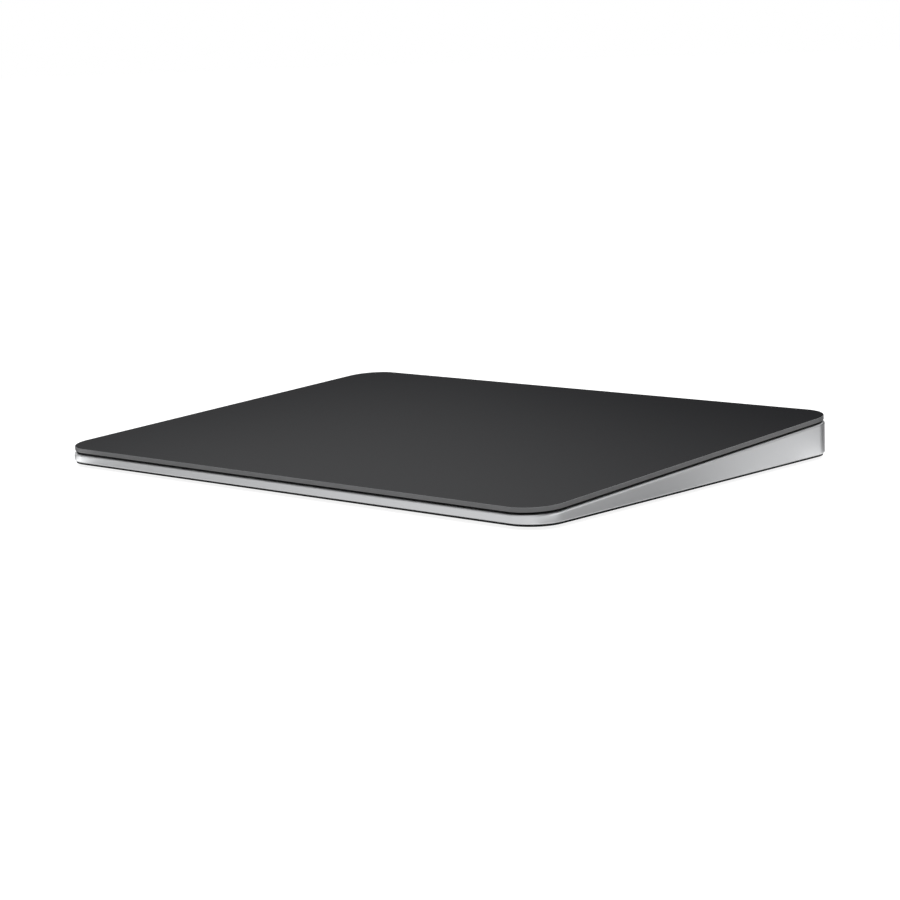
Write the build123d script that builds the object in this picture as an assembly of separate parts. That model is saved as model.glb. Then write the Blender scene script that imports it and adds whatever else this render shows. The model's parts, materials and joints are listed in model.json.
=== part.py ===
from build123d import *
import os
from math import atan, cos, degrees, tan

# A wedge-shaped desk trackpad whose glass plate is pressed and shaken on four flexure arms.
#
# Sizes are in millimetres. +X is to the right, +Y to the thick rear edge with the inlet, +Z up. The
# origin lies on the desk, under the middle of the outline.
#
# A level is a distance from the top of the glass, measured square to the glass: zero on it and
# negative below it. Pieces that follow the slope are made flat, with their top at zero, and are
# then laid on the sloping plane of their level.

# Outline
width = 160.0
depth = 114.9
wedge_rise = 6.0  # from the glass top's front edge to its rear edge
body_corner_radius = 8.2
glass_corner_radius = 8.75
rim_round = 0.65
lower_chamfer = 0.28
overrun = 3.0  # how far a cutting solid runs past the face that it opens

# Feet and base sheet
foot_radius = 4.5
foot_stand = 0.75  # from the desk to the base sheet
foot_inset = 12.0
foot_chamfer = 0.3
foot_clearance = 0.15
base_thickness = 0.5
base_inset = 0.4

# Housing tray
wall = 2.0
floor_thickness = 0.7
rib_height = 0.7
rib_width = 1.0
rib_pitch = 14.0
rib_wall_gap = 3.0
fence_height = 1.0
fence_width = 0.8
fence_clearance = 0.5

# Touch plate
press_travel = 0.15
shake_travel = 0.15
glass_thickness = 1.1
glass_gap = 0.45
glass_chamfer = 0.12
sensor_thickness = 0.5
sensor_inset = 2.8
sensor_radius = 4.5
stiffener_thickness = 0.4
stiffener_inset = 3.8
stiffener_radius = 3.5
window_radius = 1.5
slot_columns = 3
slot_length = 34.0
slot_width = 7.0
slot_pitch_x = 44.0
slot_pitch_y = 15.0
slot_front_inset = 12.0
seal_inset = 0.8
seal_width = 1.0
seal_margin = 0.05

# Touch controller chips and the sensor connector, in windows of the stiffener
chip_size = 6.5
chip_height = 0.75
chip_pitch = 9.0
chip_window_margin = 1.2
chip_row_inset = 36.0
connector_height = 1.0
connector_depth = 2.6
connector_margin = 0.6
connector_chamfer = 0.2

# Flexure arms, one near each corner
arm_side_inset = 10.0
arm_end_inset = 6.4
arm_width = 8.0
arm_root_length = 7.0
arm_tip_length = 8.0
arm_reach = 18.0
arm_waist = 3.6
arm_thickness = 0.4
arm_fillet = 1.0
arm_floor_gap = 0.28
gel_thickness = 0.6
gel_margin = 1.0
gel_radius = 1.0
gauge_width = 2.4
gauge_length = 5.0
gauge_thickness = 0.1

# Screws of the flexure arms
arm_screw_radius = 0.75
arm_screw_head_radius = 1.4
arm_screw_head = 0.3
arm_screw_spacing = 4.4
arm_thread_depth = 1.3
thread_clearance = 0.05
thread_end_gap = 0.15
socket_share = 0.45  # of the head's radius
socket_depth_share = 0.6  # of the head's height

# Round ends of slots stop just short of half the breadth, so that a straight side is left
rounded_end_share = 0.98

# Haptic actuator
haptic_board_gap = 4.0
bar_half_width = 1.5
bar_length = 30.0
air_gap_margin = 0.25
leg_width = 6.0
leg_length = 10.0
leg_pitch = 18.0
yoke_width = 4.0
coil_wall = 0.6
coil_margin = 0.35
coil_setback = 1.0
bracket_length = 32.0
bracket_thickness = 0.4
bracket_margin = 2.0
bracket_radius = 2.0
haptic_floor_gap = 0.6
haptic_screw_inset = 2.2
haptic_screw_radius = 0.6
haptic_screw_head_radius = 1.2
haptic_screw_head = 0.4
haptic_boss_radius = 1.8
haptic_thread_depth = 0.9
haptic_cable_width = 6.0

# Battery pouches
battery_length = 42.0
battery_margin = 0.49
battery_side_gap = 2.0
battery_board_gap = 2.6
pouch_radius = 2.0
pouch_chamfer = 0.6
terrace_depth = 3.4
terrace_thickness = 0.9
terrace_end_inset = 3.0
guard_end_inset = 8.0
guard_depth = 2.4
guard_thickness = 0.6
lead_width = 5.0
lead_thickness = 0.3
lead_overlap = 1.6
lead_rise_gap = 1.25  # from the main board's front edge back to the top of the lead's rise

# Main board
board_wall_gap = 0.45
board_depth = 9.0
board_end_inset = 18.0
board_thickness = 0.8
board_radius = 1.0
board_boss_height = 0.85
board_boss_radius = 1.7
board_screw_inset = 2.2
board_screw_radius = 0.6
board_screw_head_radius = 1.15
board_screw_head = 0.45
board_thread_depth = 1.2
board_hole_clearance = 0.15
board_connector_setback = 0.6
board_gap = 1.0  # between neighbours along the board

# Shield cans and chips on the main board
can_length = 10.5
can_depth = 6.6
can_height = 1.6
can_sheet = 0.2
can_chamfer = 0.3
can_chip_margin = 1.2
can_chip_height = 0.9
power_chip_size = 5.0
memory_chip_size = 2.4

# Flat sensor cable
sensor_cable_width = 9.0
cable_thickness = 0.15

# Charging inlet
inlet_width = 8.94
inlet_height = 3.16
inlet_sheet = 0.3
inlet_length = 7.9
inlet_clearance = 0.1
inlet_chamfer = 0.25
tongue_width = 6.69
tongue_thickness = 0.7
tongue_setback = 1.0
tongue_foot = 1.2
saddle_gap = 0.05
saddle_sheet = 0.3
saddle_depth = 3.4
saddle_inset = 2.4
saddle_screw_reach = 2.8
saddle_tab = 1.7

# Power switch
switch_place_share = 0.7  # of the way from the sensor cable to the board's end screw
switch_travel = 2.0
knob_length = 4.0
knob_height = 2.2
knob_thickness = 0.7
knob_setback = 0.1
knob_clearance = 0.2
knob_groove = 0.25
knob_groove_pitch = 0.6
knob_groove_depth = 0.15
knob_groove_margin = 0.35
recess_depth = 1.0
stem_length = 1.6
stem_height = 0.8
stem_offset = 0.9  # from the knob's middle towards its on side
stem_end_gap = 0.3
switch_body_length = 8.0
switch_body_height = 2.8
switch_body_depth = 3.5
switch_slot_depth = 1.6
marker_thickness = 0.08
marker_slot_gap = 0.25

# Antenna on the main board's right end
antenna_length = 13.0
antenna_depth = 4.0
antenna_height = 2.8
antenna_leg = 2.0
antenna_foil = 0.1
antenna_foil_margin = 0.5
antenna_strip = 1.0

# Heights that follow from the stack at the front flexure arms
slope = atan(wedge_rise / depth)
tilt = degrees(slope)
underside = foot_stand + base_thickness
floor_top = underside + floor_thickness
sensor_level = -glass_thickness
stiffener_level = sensor_level - sensor_thickness
gel_level = stiffener_level - stiffener_thickness
arm_level = gel_level - gel_thickness
boss_level = arm_level - arm_thickness
rim_level = -glass_thickness - glass_gap
front_height = floor_top + arm_floor_gap - boss_level / cos(slope) - arm_end_inset * tan(slope)
rear_height = front_height + wedge_rise


def height_at(y, level):
    """Return the height over y of the sloping plane at this level."""
    return front_height + (y + depth / 2) * tan(slope) + level / cos(slope)


def slope_place(x, y, level):
    """Return the place over (x, y) on the sloping plane at this level."""
    return Location((x, y, height_at(y, level)), (tilt, 0, 0))


# Places that several pieces share
arm_x = width / 2 - arm_side_inset
arm_root_y = depth / 2 - arm_end_inset - arm_tip_length / 2 - arm_reach
board_rear = depth / 2 - wall - board_wall_gap
board_front = board_rear - board_depth
board_half = width / 2 - board_end_inset
board_top = floor_top + board_boss_height + board_thickness
board_connector_y = board_front + board_connector_setback + connector_depth / 2
board_screw_y = board_front + board_screw_inset
pole_x = bar_half_width + shake_travel + air_gap_margin
yoke_end = pole_x + leg_length + yoke_width
bracket_half = yoke_end + bracket_margin
bracket_rear = board_front - haptic_board_gap
bracket_front = bracket_rear - bracket_length
bracket_y = bracket_rear - bracket_length / 2
haptic_screw_x = bracket_half - haptic_screw_inset
haptic_screw_y = bracket_length / 2 - haptic_screw_inset
battery_outer = arm_x - arm_width / 2 - battery_side_gap
battery_inner = bracket_half + battery_side_gap
battery_width = battery_outer - battery_inner
battery_x = battery_inner + battery_width / 2
pouch_rear = board_front - battery_board_gap - terrace_depth
pouch_front = pouch_rear - battery_length
pouch_y = pouch_rear - battery_length / 2
pouch_top = height_at(pouch_front, gel_level) - press_travel - battery_margin
sensor_connector_y = board_connector_y - connector_depth
chip_row_y = chip_row_inset - depth / 2
saddle_screw_x = inlet_width / 2 + saddle_screw_reach
can_x = saddle_screw_x + saddle_tab + board_gap + can_length / 2
board_screw_middle = can_x + can_length / 2 + board_gap + board_screw_head_radius
screw_keepout = board_screw_middle + board_screw_head_radius + board_gap
power_chip_x = screw_keepout + power_chip_size / 2
right_lead_x = screw_keepout + power_chip_size + board_gap + connector_margin + lead_width / 2
sensor_cable_x = -screw_keepout - connector_margin - sensor_cable_width / 2
left_lead_x = sensor_cable_x - sensor_cable_width / 2 - 2 * connector_margin - board_gap - lead_width / 2
inlet_z = board_top + inlet_height / 2
saddle_y = board_rear - saddle_inset
switch_room_start = sensor_cable_x - sensor_cable_width / 2
switch_room_end = board_screw_inset + board_screw_head_radius - board_half
switch_body_x = switch_room_start + (switch_room_end - switch_room_start) * switch_place_share
switch_x = switch_body_x - stem_offset
switch_z = board_top + switch_body_height / 2
recess_length = knob_length + switch_travel + 2 * knob_clearance
recess_height = knob_height + 2 * knob_clearance
knob_x = switch_x - switch_travel / 2
stem_slot_length = stem_length + switch_travel + 2 * knob_clearance
stem_slot_height = stem_height + 2 * knob_clearance
antenna_end = board_half - board_screw_inset - board_screw_head_radius - board_gap
antenna_x = antenna_end - antenna_length / 2
coil_top_level = gel_level - press_travel - coil_margin
leg_top_level = coil_top_level - coil_wall
haptic_room = height_at(bracket_front, gel_level) - floor_top - haptic_floor_gap
leg_height = haptic_room - press_travel - coil_margin - 2 * coil_wall - bracket_thickness
bracket_level = leg_top_level - leg_height - coil_wall

sides = {"left": -1, "right": 1}
corners = {
    "front_left": (-1, -1),
    "front_right": (1, -1),
    "rear_left": (-1, 1),
    "rear_right": (1, 1),
}

# The rear face seen from behind the wall: X stays to the right, its Y is the height
rear_face = Plane(origin=(0, depth / 2, 0), x_dir=(1, 0, 0), z_dir=(0, -1, 0))


def save(name, *solids):
    """Write one node, which holds one solid or several separate ones."""
    shape = solids[0] if len(solids) == 1 else Compound(list(solids))
    export_step(shape, f"parts/{name}.step")


def hang(sketch, thickness):
    """Return a flat plate of this outline whose top is at zero."""
    return extrude(sketch, amount=-thickness)


def stand(sketch, x, y, z, height):
    """Return an upright block of this outline standing at a height."""
    return extrude(Pos(x, y, z) * sketch, amount=height)


def ribbon(points, radius, thickness, x, breadth):
    """Return a flat cable that follows (y, z) points, centred on x."""
    path = FilletPolyline(*points, radius=radius)
    return extrude(Plane.YZ.offset(x) * trace(path, thickness), amount=breadth / 2, both=True)


def screw(head_radius, head_height, shank_radius, shank_length):
    """Return a screw whose head stands on zero and whose shank hangs below it."""
    head = stand(Circle(head_radius), 0, 0, 0, head_height)
    socket = RegularPolygon(head_radius * socket_share, 6)
    depth_of_socket = head_height * socket_depth_share
    head -= Pos(0, 0, head_height) * hang(socket, depth_of_socket)
    return head + hang(Circle(shank_radius - thread_clearance), shank_length)


def corner_place(corner, level):
    """Return the place of a flexure arm's root at this level, with its Y towards the arm's tip."""
    side, end = corners[corner]
    turn = Rot(0, 0, 0 if end > 0 else 180)
    return slope_place(side * arm_x, end * arm_root_y, level) * turn


def rounded_end(breadth):
    """Return the corner radius that rounds the ends of a slot of this breadth."""
    return breadth / 2 * rounded_end_share


def outline(inset, radius):
    """Return the plan outline drawn in by an inset."""
    return RectangleRounded(width - 2 * inset, depth - 2 * inset, radius)


# Housing


def board_screw_points():
    """Return the places of the screws that hold the main board by itself."""
    end_x = board_half - board_screw_inset
    middle_y = board_rear - board_screw_inset
    ends = [(side * end_x, board_screw_y) for side in sides.values()]
    return ends + [(side * board_screw_middle, middle_y) for side in sides.values()]


def saddle_screw_points():
    """Return the places of the two screws through the inlet saddle and the board."""
    return [(side * saddle_screw_x, saddle_y) for side in sides.values()]


def haptic_screw_places(level):
    """Return the places of the four bracket screws at this level."""
    middle = slope_place(0, bracket_y, level)
    return [middle * Pos(sx * haptic_screw_x, sy * haptic_screw_y, 0) for sx, sy in corners.values()]


def wedge_blank():
    """Return the outer form: rounded corners, a sloping rim and a chamfered lower edge."""
    block = stand(RectangleRounded(width, depth, body_corner_radius), 0, 0, underside, rear_height)
    block = split(block, bisect_by=Plane(slope_place(0, 0, rim_level)), keep=Keep.BOTTOM)
    block = fillet(block.faces().sort_by(Axis.Z)[-1].edges(), rim_round)
    return chamfer(block.faces().sort_by(Axis.Z)[0].edges(), lower_chamfer)


def tray_pocket():
    """Return the solid that is milled out of the blank."""
    return stand(outline(wall, body_corner_radius - wall), 0, 0, floor_top, rear_height)


def floor_ribs():
    """Return the grid of ribs that stiffens the floor in front of the batteries."""
    front = -depth / 2 + wall + rib_wall_gap
    rear = pouch_front - fence_clearance - fence_width - rib_wall_gap
    half = battery_outer
    columns = max(1, int(2 * half / rib_pitch))
    rows = max(1, int((rear - front) / rib_pitch))
    middle = (front + rear) / 2
    ribs = [Rectangle(rib_width, rear - front).moved(Pos(-half + 2 * half * i / columns, middle))
            for i in range(columns + 1)]
    ribs += [Rectangle(2 * half + rib_width, rib_width).moved(Pos(0, front + (rear - front) * i / rows))
             for i in range(rows + 1)]
    return stand(Sketch() + ribs, 0, 0, floor_top, rib_height)


def battery_fence(side):
    """Return the low wall that locates one battery pouch and is open towards the main board."""
    inner = Rectangle(battery_width + 2 * fence_clearance, battery_length + 2 * fence_clearance)
    grown = 2 * fence_clearance + 2 * fence_width
    outer = Rectangle(battery_width + grown, battery_length + grown)
    fence = stand(outer - inner, side * battery_x, pouch_y, floor_top, fence_height)
    gate = Rectangle(battery_width, 2 * (fence_clearance + fence_width) + terrace_depth)
    return fence - stand(gate, side * battery_x, pouch_rear, floor_top, fence_height)


def arm_boss(corner):
    """Return the inclined boss that carries one flexure arm."""
    side, end = corners[corner]
    root = Rectangle(arm_width, arm_root_length)
    boss = stand(root, side * arm_x, end * arm_root_y, floor_top, rear_height)
    return split(boss, bisect_by=Plane(slope_place(0, 0, boss_level)), keep=Keep.BOTTOM)


def haptic_boss(place):
    """Return the inclined boss under one corner of the haptic bracket."""
    middle = place.position
    boss = stand(Circle(haptic_boss_radius), middle.X, middle.Y, floor_top, rear_height)
    seat = Plane(slope_place(0, 0, bracket_level - bracket_thickness))
    return split(boss, bisect_by=seat, keep=Keep.BOTTOM)


def inlet_opening():
    """Return the solid that opens the rear wall for the inlet, with its lead-in chamfer."""
    inner = inlet_outline(inlet_clearance)
    hole = extrude(rear_face * Pos(0, inlet_z) * inner, amount=wall + overrun)
    mouth = [Pos(0, inlet_z, 0) * inlet_outline(inlet_clearance + inlet_chamfer),
             Pos(0, inlet_z, inlet_chamfer) * inner]
    return hole + loft([rear_face * section for section in mouth])


def stem_slot(reach):
    """Return the solid that clears the knob's stem, from the rear face inwards."""
    slot = Pos(switch_body_x, switch_z) * Rectangle(stem_slot_length, stem_slot_height)
    return extrude(rear_face * slot, amount=reach)


def switch_opening():
    """Return the solid of the knob's recess and of the slot behind it."""
    recess = RectangleRounded(recess_length, recess_height, rounded_end(recess_height))
    recess = rear_face * Pos(switch_x, switch_z) * recess
    return extrude(recess, amount=recess_depth) + stem_slot(wall + overrun)


def make_housing():
    """Return the machined tray with its ribs, fences, bosses, holes and rear openings."""
    tray = wedge_blank() - tray_pocket()
    seat = haptic_screw_places(bracket_level - bracket_thickness)
    additions = [floor_ribs()] + [battery_fence(side) for side in sides.values()]
    additions += [arm_boss(corner) for corner in corners]
    additions += [haptic_boss(place) for place in seat]
    board_points = board_screw_points() + saddle_screw_points()
    for x, y in board_points:
        additions.append(stand(Circle(board_boss_radius), x, y, floor_top, board_boss_height))
    tray = tray + additions
    holes = [place * hang(Circle(haptic_screw_radius), haptic_thread_depth) for place in seat]
    for corner in corners:
        for side in sides.values():
            place = corner_place(corner, boss_level) * Pos(side * arm_screw_spacing / 2, 0, 0)
            holes.append(place * hang(Circle(arm_screw_radius), arm_thread_depth))
    boss_top = floor_top + board_boss_height
    for x, y in board_points:
        holes.append(Pos(x, y, boss_top) * hang(Circle(board_screw_radius), board_thread_depth))
    return tray - holes - inlet_opening() - switch_opening()


# Feet, base sheet and seal


def foot_points():
    """Return the names and centres of the four feet."""
    x = width / 2 - foot_inset
    y = depth / 2 - foot_inset
    return {name: (side * x, end * y) for name, (side, end) in corners.items()}


def make_foot(x, y):
    """Return one round foot, from the desk up through the base sheet to the housing."""
    foot = stand(Circle(foot_radius), x, y, 0, underside)
    return chamfer(foot.edges().group_by(Axis.Z)[0], foot_chamfer)


def make_base_sheet():
    """Return the thin sheet under the housing, with a hole round each foot."""
    sheet = outline(base_inset, body_corner_radius - base_inset)
    for x, y in foot_points().values():
        sheet -= Pos(x, y) * Circle(foot_radius + foot_clearance)
    return stand(sheet, 0, 0, foot_stand, base_thickness)


def make_dust_seal():
    """Return the foam ring on the rim, which leaves the glass its travel."""
    outer = outline(seal_inset, body_corner_radius - seal_inset)
    inner_inset = seal_inset + seal_width
    inner = outline(inner_inset, body_corner_radius - inner_inset)
    height = glass_gap - press_travel - seal_margin
    return slope_place(0, 0, rim_level) * stand(outer - inner, 0, 0, 0, height)


# Touch plate


def make_touch_glass():
    """Return the glass, whose bevelled edges meet the outline at front and rear."""
    overhang = glass_thickness * tan(slope)
    length = depth / cos(slope) - overhang
    glass = hang(RectangleRounded(width, length, glass_corner_radius), glass_thickness)
    flats = glass.faces().filter_by(Axis.Z)
    glass = chamfer(flats.edges(), glass_chamfer)
    return slope_place(0, -overhang * cos(slope) / 2, 0) * glass


def make_sensor_board():
    """Return the touch sensor board under the glass."""
    return slope_place(0, 0, sensor_level) * hang(outline(sensor_inset, sensor_radius), sensor_thickness)


def window_outlines():
    """Return the stiffener's windows for the controller chips and the sensor connector."""
    row = 2 * chip_pitch + chip_size + 2 * chip_window_margin
    chips = RectangleRounded(row, chip_size + 2 * chip_window_margin, window_radius)
    plug_width = sensor_cable_width + 2 * connector_margin + 2 * chip_window_margin
    plug = RectangleRounded(plug_width, connector_depth + 2 * chip_window_margin, window_radius)
    return [Pos(0, chip_row_y) * chips, Pos(sensor_cable_x, sensor_connector_y) * plug]


def lightening_slots():
    """Return the stiffener's slots, in rows in front of the actuator and clear of the chips."""
    slot = RectangleRounded(slot_length, slot_width, rounded_end(slot_width))
    first_x = -(slot_columns - 1) * slot_pitch_x / 2
    first_y = slot_front_inset - depth / 2
    last_y = bracket_front - slot_width
    slots = []
    for row in range(int((last_y - first_y) / slot_pitch_y) + 1):
        y = first_y + row * slot_pitch_y
        if abs(y - chip_row_y) > (chip_size + slot_width) / 2 + 2 * chip_window_margin:
            slots += [Pos(first_x + column * slot_pitch_x, y) * slot for column in range(slot_columns)]
    return slots


def make_stiffener():
    """Return the steel plate that carries glass and sensor, with its windows and slots."""
    plate = outline(stiffener_inset, stiffener_radius) - window_outlines() - lightening_slots()
    return slope_place(0, 0, stiffener_level) * hang(plate, stiffener_thickness)


def make_controller_chips():
    """Return the row of three chips under the sensor board."""
    place = slope_place(0, 0, stiffener_level)
    chip = hang(Rectangle(chip_size, chip_size), chip_height)
    return [place * Pos(step * chip_pitch, chip_row_y, 0) * chip for step in (-1, 0, 1)]


def make_sensor_connector():
    """Return the connector under the sensor board that takes the flat sensor cable."""
    block = hang(Rectangle(sensor_cable_width + 2 * connector_margin, connector_depth), connector_height)
    block = chamfer(block.edges().group_by(Axis.Z)[0], connector_chamfer)
    return slope_place(0, 0, stiffener_level) * Pos(sensor_cable_x, sensor_connector_y, 0) * block


def make_attraction_bar():
    """Return the steel bar on the stiffener that the cores pull from side to side."""
    bar = hang(Rectangle(2 * bar_half_width, bar_length), gel_level - leg_top_level + leg_height)
    return slope_place(0, bracket_y, gel_level) * bar


# Suspension


def make_flexure_arm(corner):
    """Return one leaf spring: a screwed root, a narrow waist and a tip under the gel pad."""
    root = Rectangle(arm_width, arm_root_length)
    waist = Pos(0, arm_reach / 2) * Rectangle(arm_waist, arm_reach)
    tip = Pos(0, arm_reach) * Rectangle(arm_width, arm_tip_length)
    leaf = root + waist + tip
    leaf = fillet([corner for corner in leaf.vertices() if abs(corner.X) < arm_width / 2], arm_fillet)
    for side in sides.values():
        leaf -= Pos(side * arm_screw_spacing / 2, 0) * Circle(arm_screw_radius)
    return corner_place(corner, arm_level) * hang(leaf, arm_thickness)


def make_gel_pad(corner):
    """Return the soft pad between one arm's tip and the stiffener."""
    pad = RectangleRounded(arm_width - 2 * gel_margin, arm_tip_length - 2 * gel_margin, gel_radius)
    return corner_place(corner, gel_level) * Pos(0, arm_reach, 0) * hang(pad, gel_thickness)


def make_strain_gauge(corner):
    """Return the gauge on one arm's waist."""
    middle = (arm_root_length / 2 + arm_reach - arm_tip_length / 2) / 2
    gauge = stand(Rectangle(gauge_width, gauge_length), 0, middle, 0, gauge_thickness)
    return corner_place(corner, arm_level) * gauge


def make_arm_screws():
    """Return the two screws in the root of each arm."""
    shank = arm_thickness + arm_thread_depth - thread_end_gap
    one = screw(arm_screw_head_radius, arm_screw_head, arm_screw_radius, shank)
    return [corner_place(corner, arm_level) * Pos(side * arm_screw_spacing / 2, 0, 0) * one
            for corner in corners for side in sides.values()]


# Haptic actuator


def actuator_place(side, level):
    """Return the actuator's middle at this level, with its X towards one side."""
    return slope_place(0, bracket_y, level) * Rot(0, 0, 0 if side > 0 else 180)


def make_haptic_bracket():
    """Return the sheet that carries both cores on four bosses."""
    sheet = RectangleRounded(2 * bracket_half, bracket_length, bracket_radius)
    gap = leg_pitch - leg_width - 2 * coil_wall
    for side in sides.values():
        sheet -= Pos(side * (pole_x + leg_length / 2), 0) * Rectangle(leg_length - coil_setback, gap)
    for side, end in corners.values():
        hole = Circle(haptic_screw_radius)
        sheet -= Pos(side * haptic_screw_x, end * haptic_screw_y) * hole
    return slope_place(0, bracket_y, bracket_level) * hang(sheet, bracket_thickness)


def make_haptic_core(side):
    """Return one C-shaped core, whose yoke stands on the bracket and whose poles face the bar."""
    core = Part()
    for end in sides.values():
        leg = Pos(pole_x + leg_length / 2, end * leg_pitch / 2) * Rectangle(leg_length, leg_width)
        core += hang(leg, leg_height)
    yoke = Rectangle(yoke_width, leg_pitch + leg_width)
    core += hang(Pos(yoke_end - yoke_width / 2, 0) * yoke, leg_height + coil_wall)
    return actuator_place(side, leg_top_level) * core


def make_haptic_coils(side):
    """Return the two coils round the legs of one core."""
    length = leg_length - 2 * coil_setback
    plane = Plane.YZ.offset(pole_x + coil_setback)
    ring = RectangleRounded(leg_width + 2 * coil_wall, leg_height + 2 * coil_wall, coil_wall)
    ring -= Rectangle(leg_width, leg_height)
    coils = []
    for end in sides.values():
        section = plane * Pos(end * leg_pitch / 2, -leg_height / 2) * ring
        coils.append(actuator_place(side, leg_top_level) * extrude(section, amount=length))
    return coils


def make_haptic_screws():
    """Return the four screws of the haptic bracket."""
    shank = bracket_thickness + haptic_thread_depth - thread_end_gap
    one = screw(haptic_screw_head_radius, haptic_screw_head, haptic_screw_radius, shank)
    return [place * one for place in haptic_screw_places(bracket_level)]


def make_haptic_cable():
    """Return the flat cable from the bracket's rear edge to the main board."""
    start = height_at(bracket_rear, bracket_level) - bracket_thickness / 2
    plug = board_top + connector_height / 2
    begin = bracket_rear + thread_clearance
    end = board_front + board_connector_setback
    bend = haptic_board_gap / 2
    points = [(begin, start), (begin + bend, plug), (end, plug)]
    return ribbon(points, bend / 2, cable_thickness, 0, haptic_cable_width)


# Batteries


def make_battery(side):
    """Return one pouch with rounded top edges and its thin sealed terrace."""
    pouch = RectangleRounded(battery_width, battery_length, pouch_radius)
    pouch = stand(pouch, 0, pouch_y, floor_top, pouch_top - floor_top)
    pouch = chamfer(pouch.edges().group_by(Axis.Z)[-1], pouch_chamfer)
    flange = Rectangle(battery_width - 2 * terrace_end_inset, terrace_depth + pouch_radius)
    flange_y = pouch_rear + (terrace_depth - pouch_radius) / 2
    return Pos(side * battery_x, 0, 0) * (pouch + stand(flange, 0, flange_y, floor_top, terrace_thickness))


def make_battery_guard(side):
    """Return the protection board on one battery's terrace."""
    y = pouch_rear + terrace_depth / 2
    z = floor_top + terrace_thickness
    guard = Rectangle(battery_width - 2 * guard_end_inset, guard_depth)
    return stand(guard, side * battery_x, y, z, guard_thickness)


def make_battery_lead(x):
    """Return the flat lead from a protection board to its connector."""
    low = floor_top + terrace_thickness + guard_thickness + lead_thickness / 2
    high = board_top + connector_height / 2
    guard_edge = pouch_rear + (terrace_depth + guard_depth) / 2
    end = board_front + board_connector_setback
    rise = [(guard_edge, low), (board_front - lead_rise_gap, high)]
    points = [(guard_edge - lead_overlap, low), *rise, (end, high)]
    return ribbon(points, lead_thickness, lead_thickness, x, lead_width)


# Main board


def make_main_board():
    """Return the long narrow board behind the batteries."""
    board = RectangleRounded(2 * board_half, board_depth, board_radius)
    hole = Circle(board_screw_radius + board_hole_clearance)
    middle = board_rear - board_depth / 2
    for x, y in board_screw_points() + saddle_screw_points():
        board -= Pos(x, y - middle) * hole
    return stand(board, 0, middle, board_top - board_thickness, board_thickness)


def make_board_screws(points, sheet):
    """Return the screws through the board, and through a sheet on it, into their bosses."""
    shank = sheet + board_thickness + board_thread_depth - thread_end_gap
    one = screw(board_screw_head_radius, board_screw_head, board_screw_radius, shank)
    return [Pos(x, y, board_top + sheet) * one for x, y in points]


def make_shield_can(side):
    """Return one pressed can, open towards the board."""
    y = board_rear - board_depth / 2
    can = stand(Rectangle(can_length, can_depth), side * can_x, y, board_top, can_height)
    can = chamfer(can.edges().group_by(Axis.Z)[-1], can_chamfer)
    room = Rectangle(can_length - 2 * can_sheet, can_depth - 2 * can_sheet)
    return can - stand(room, side * can_x, y, board_top, can_height - can_sheet)


def make_board_chips():
    """Return the chips under the cans and on the open part of the board."""
    y = board_rear - board_depth / 2
    covered = Rectangle(can_length - 2 * can_chip_margin, can_depth - 2 * can_chip_margin)
    chips = [stand(covered, side * can_x, y, board_top, can_chip_height) for side in sides.values()]
    power = Rectangle(power_chip_size, power_chip_size)
    memory = Rectangle(memory_chip_size, memory_chip_size)
    chips.append(stand(power, power_chip_x, y, board_top, can_chip_height))
    chips.append(stand(memory, board_screw_middle, board_connector_y, board_top, can_chip_height))
    return chips


def make_board_connectors():
    """Return the connectors of the two leads, the sensor cable and the haptic cable."""
    breadths = {
        left_lead_x: lead_width,
        right_lead_x: lead_width,
        sensor_cable_x: sensor_cable_width,
        0: haptic_cable_width,
    }
    connectors = []
    for x, breadth in breadths.items():
        base = Rectangle(breadth + 2 * connector_margin, connector_depth)
        block = stand(base, x, board_connector_y, board_top, connector_height)
        connectors.append(chamfer(block.edges().group_by(Axis.Z)[-1], connector_chamfer))
    return connectors


def make_sensor_cable():
    """Return the flat cable that turns from the moving plate back down to the main board."""
    top = height_at(sensor_connector_y, stiffener_level) - connector_height / 2
    low = board_top + connector_height / 2
    start = sensor_connector_y + connector_depth / 2 + cable_thickness
    end = board_connector_y + connector_depth / 2
    bend = (top - low) / 2
    turn = board_rear - bend - connector_margin
    path = Line((start, top), (turn, top))
    path += CenterArc((turn, (top + low) / 2), bend, -90, 180)
    path += Line((turn, low), (end, low))
    section = Plane.YZ.offset(sensor_cable_x) * trace(path, cable_thickness)
    return extrude(section, amount=sensor_cable_width / 2, both=True)


# Charging inlet


def inlet_outline(grown):
    """Return the inlet's outline, grown by this much on each side."""
    height = inlet_height + 2 * grown
    return RectangleRounded(inlet_width + 2 * grown, height, rounded_end(height))


def make_inlet_shell():
    """Return the drawn shell, open to the rear and closed by its back."""
    place = rear_face * Pos(0, inlet_z)
    shell = extrude(place * inlet_outline(0), amount=inlet_length)
    return shell - extrude(place * inlet_outline(-inlet_sheet), amount=inlet_length - inlet_sheet)


def make_inlet_tongue():
    """Return the contact tongue with the thicker foot that fills the back of the shell."""
    place = rear_face * Pos(0, inlet_z, inlet_length - inlet_sheet)
    tongue = extrude(place * Rectangle(tongue_width, tongue_thickness),
                     amount=-(inlet_length - inlet_sheet - tongue_setback))
    return tongue + extrude(place * inlet_outline(-inlet_sheet), amount=-tongue_foot)


def saddle_arch(grown):
    """Return the inlet's outline grown by this much, with straight legs down to the board."""
    legs = Rectangle(inlet_width + 2 * grown, inlet_height / 2)
    arch = inlet_outline(grown) + Pos(0, -inlet_height / 4) * legs
    below = Rectangle(inlet_width + 2 * overrun, overrun)
    return arch - Pos(0, -inlet_height / 2 - overrun / 2) * below


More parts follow.
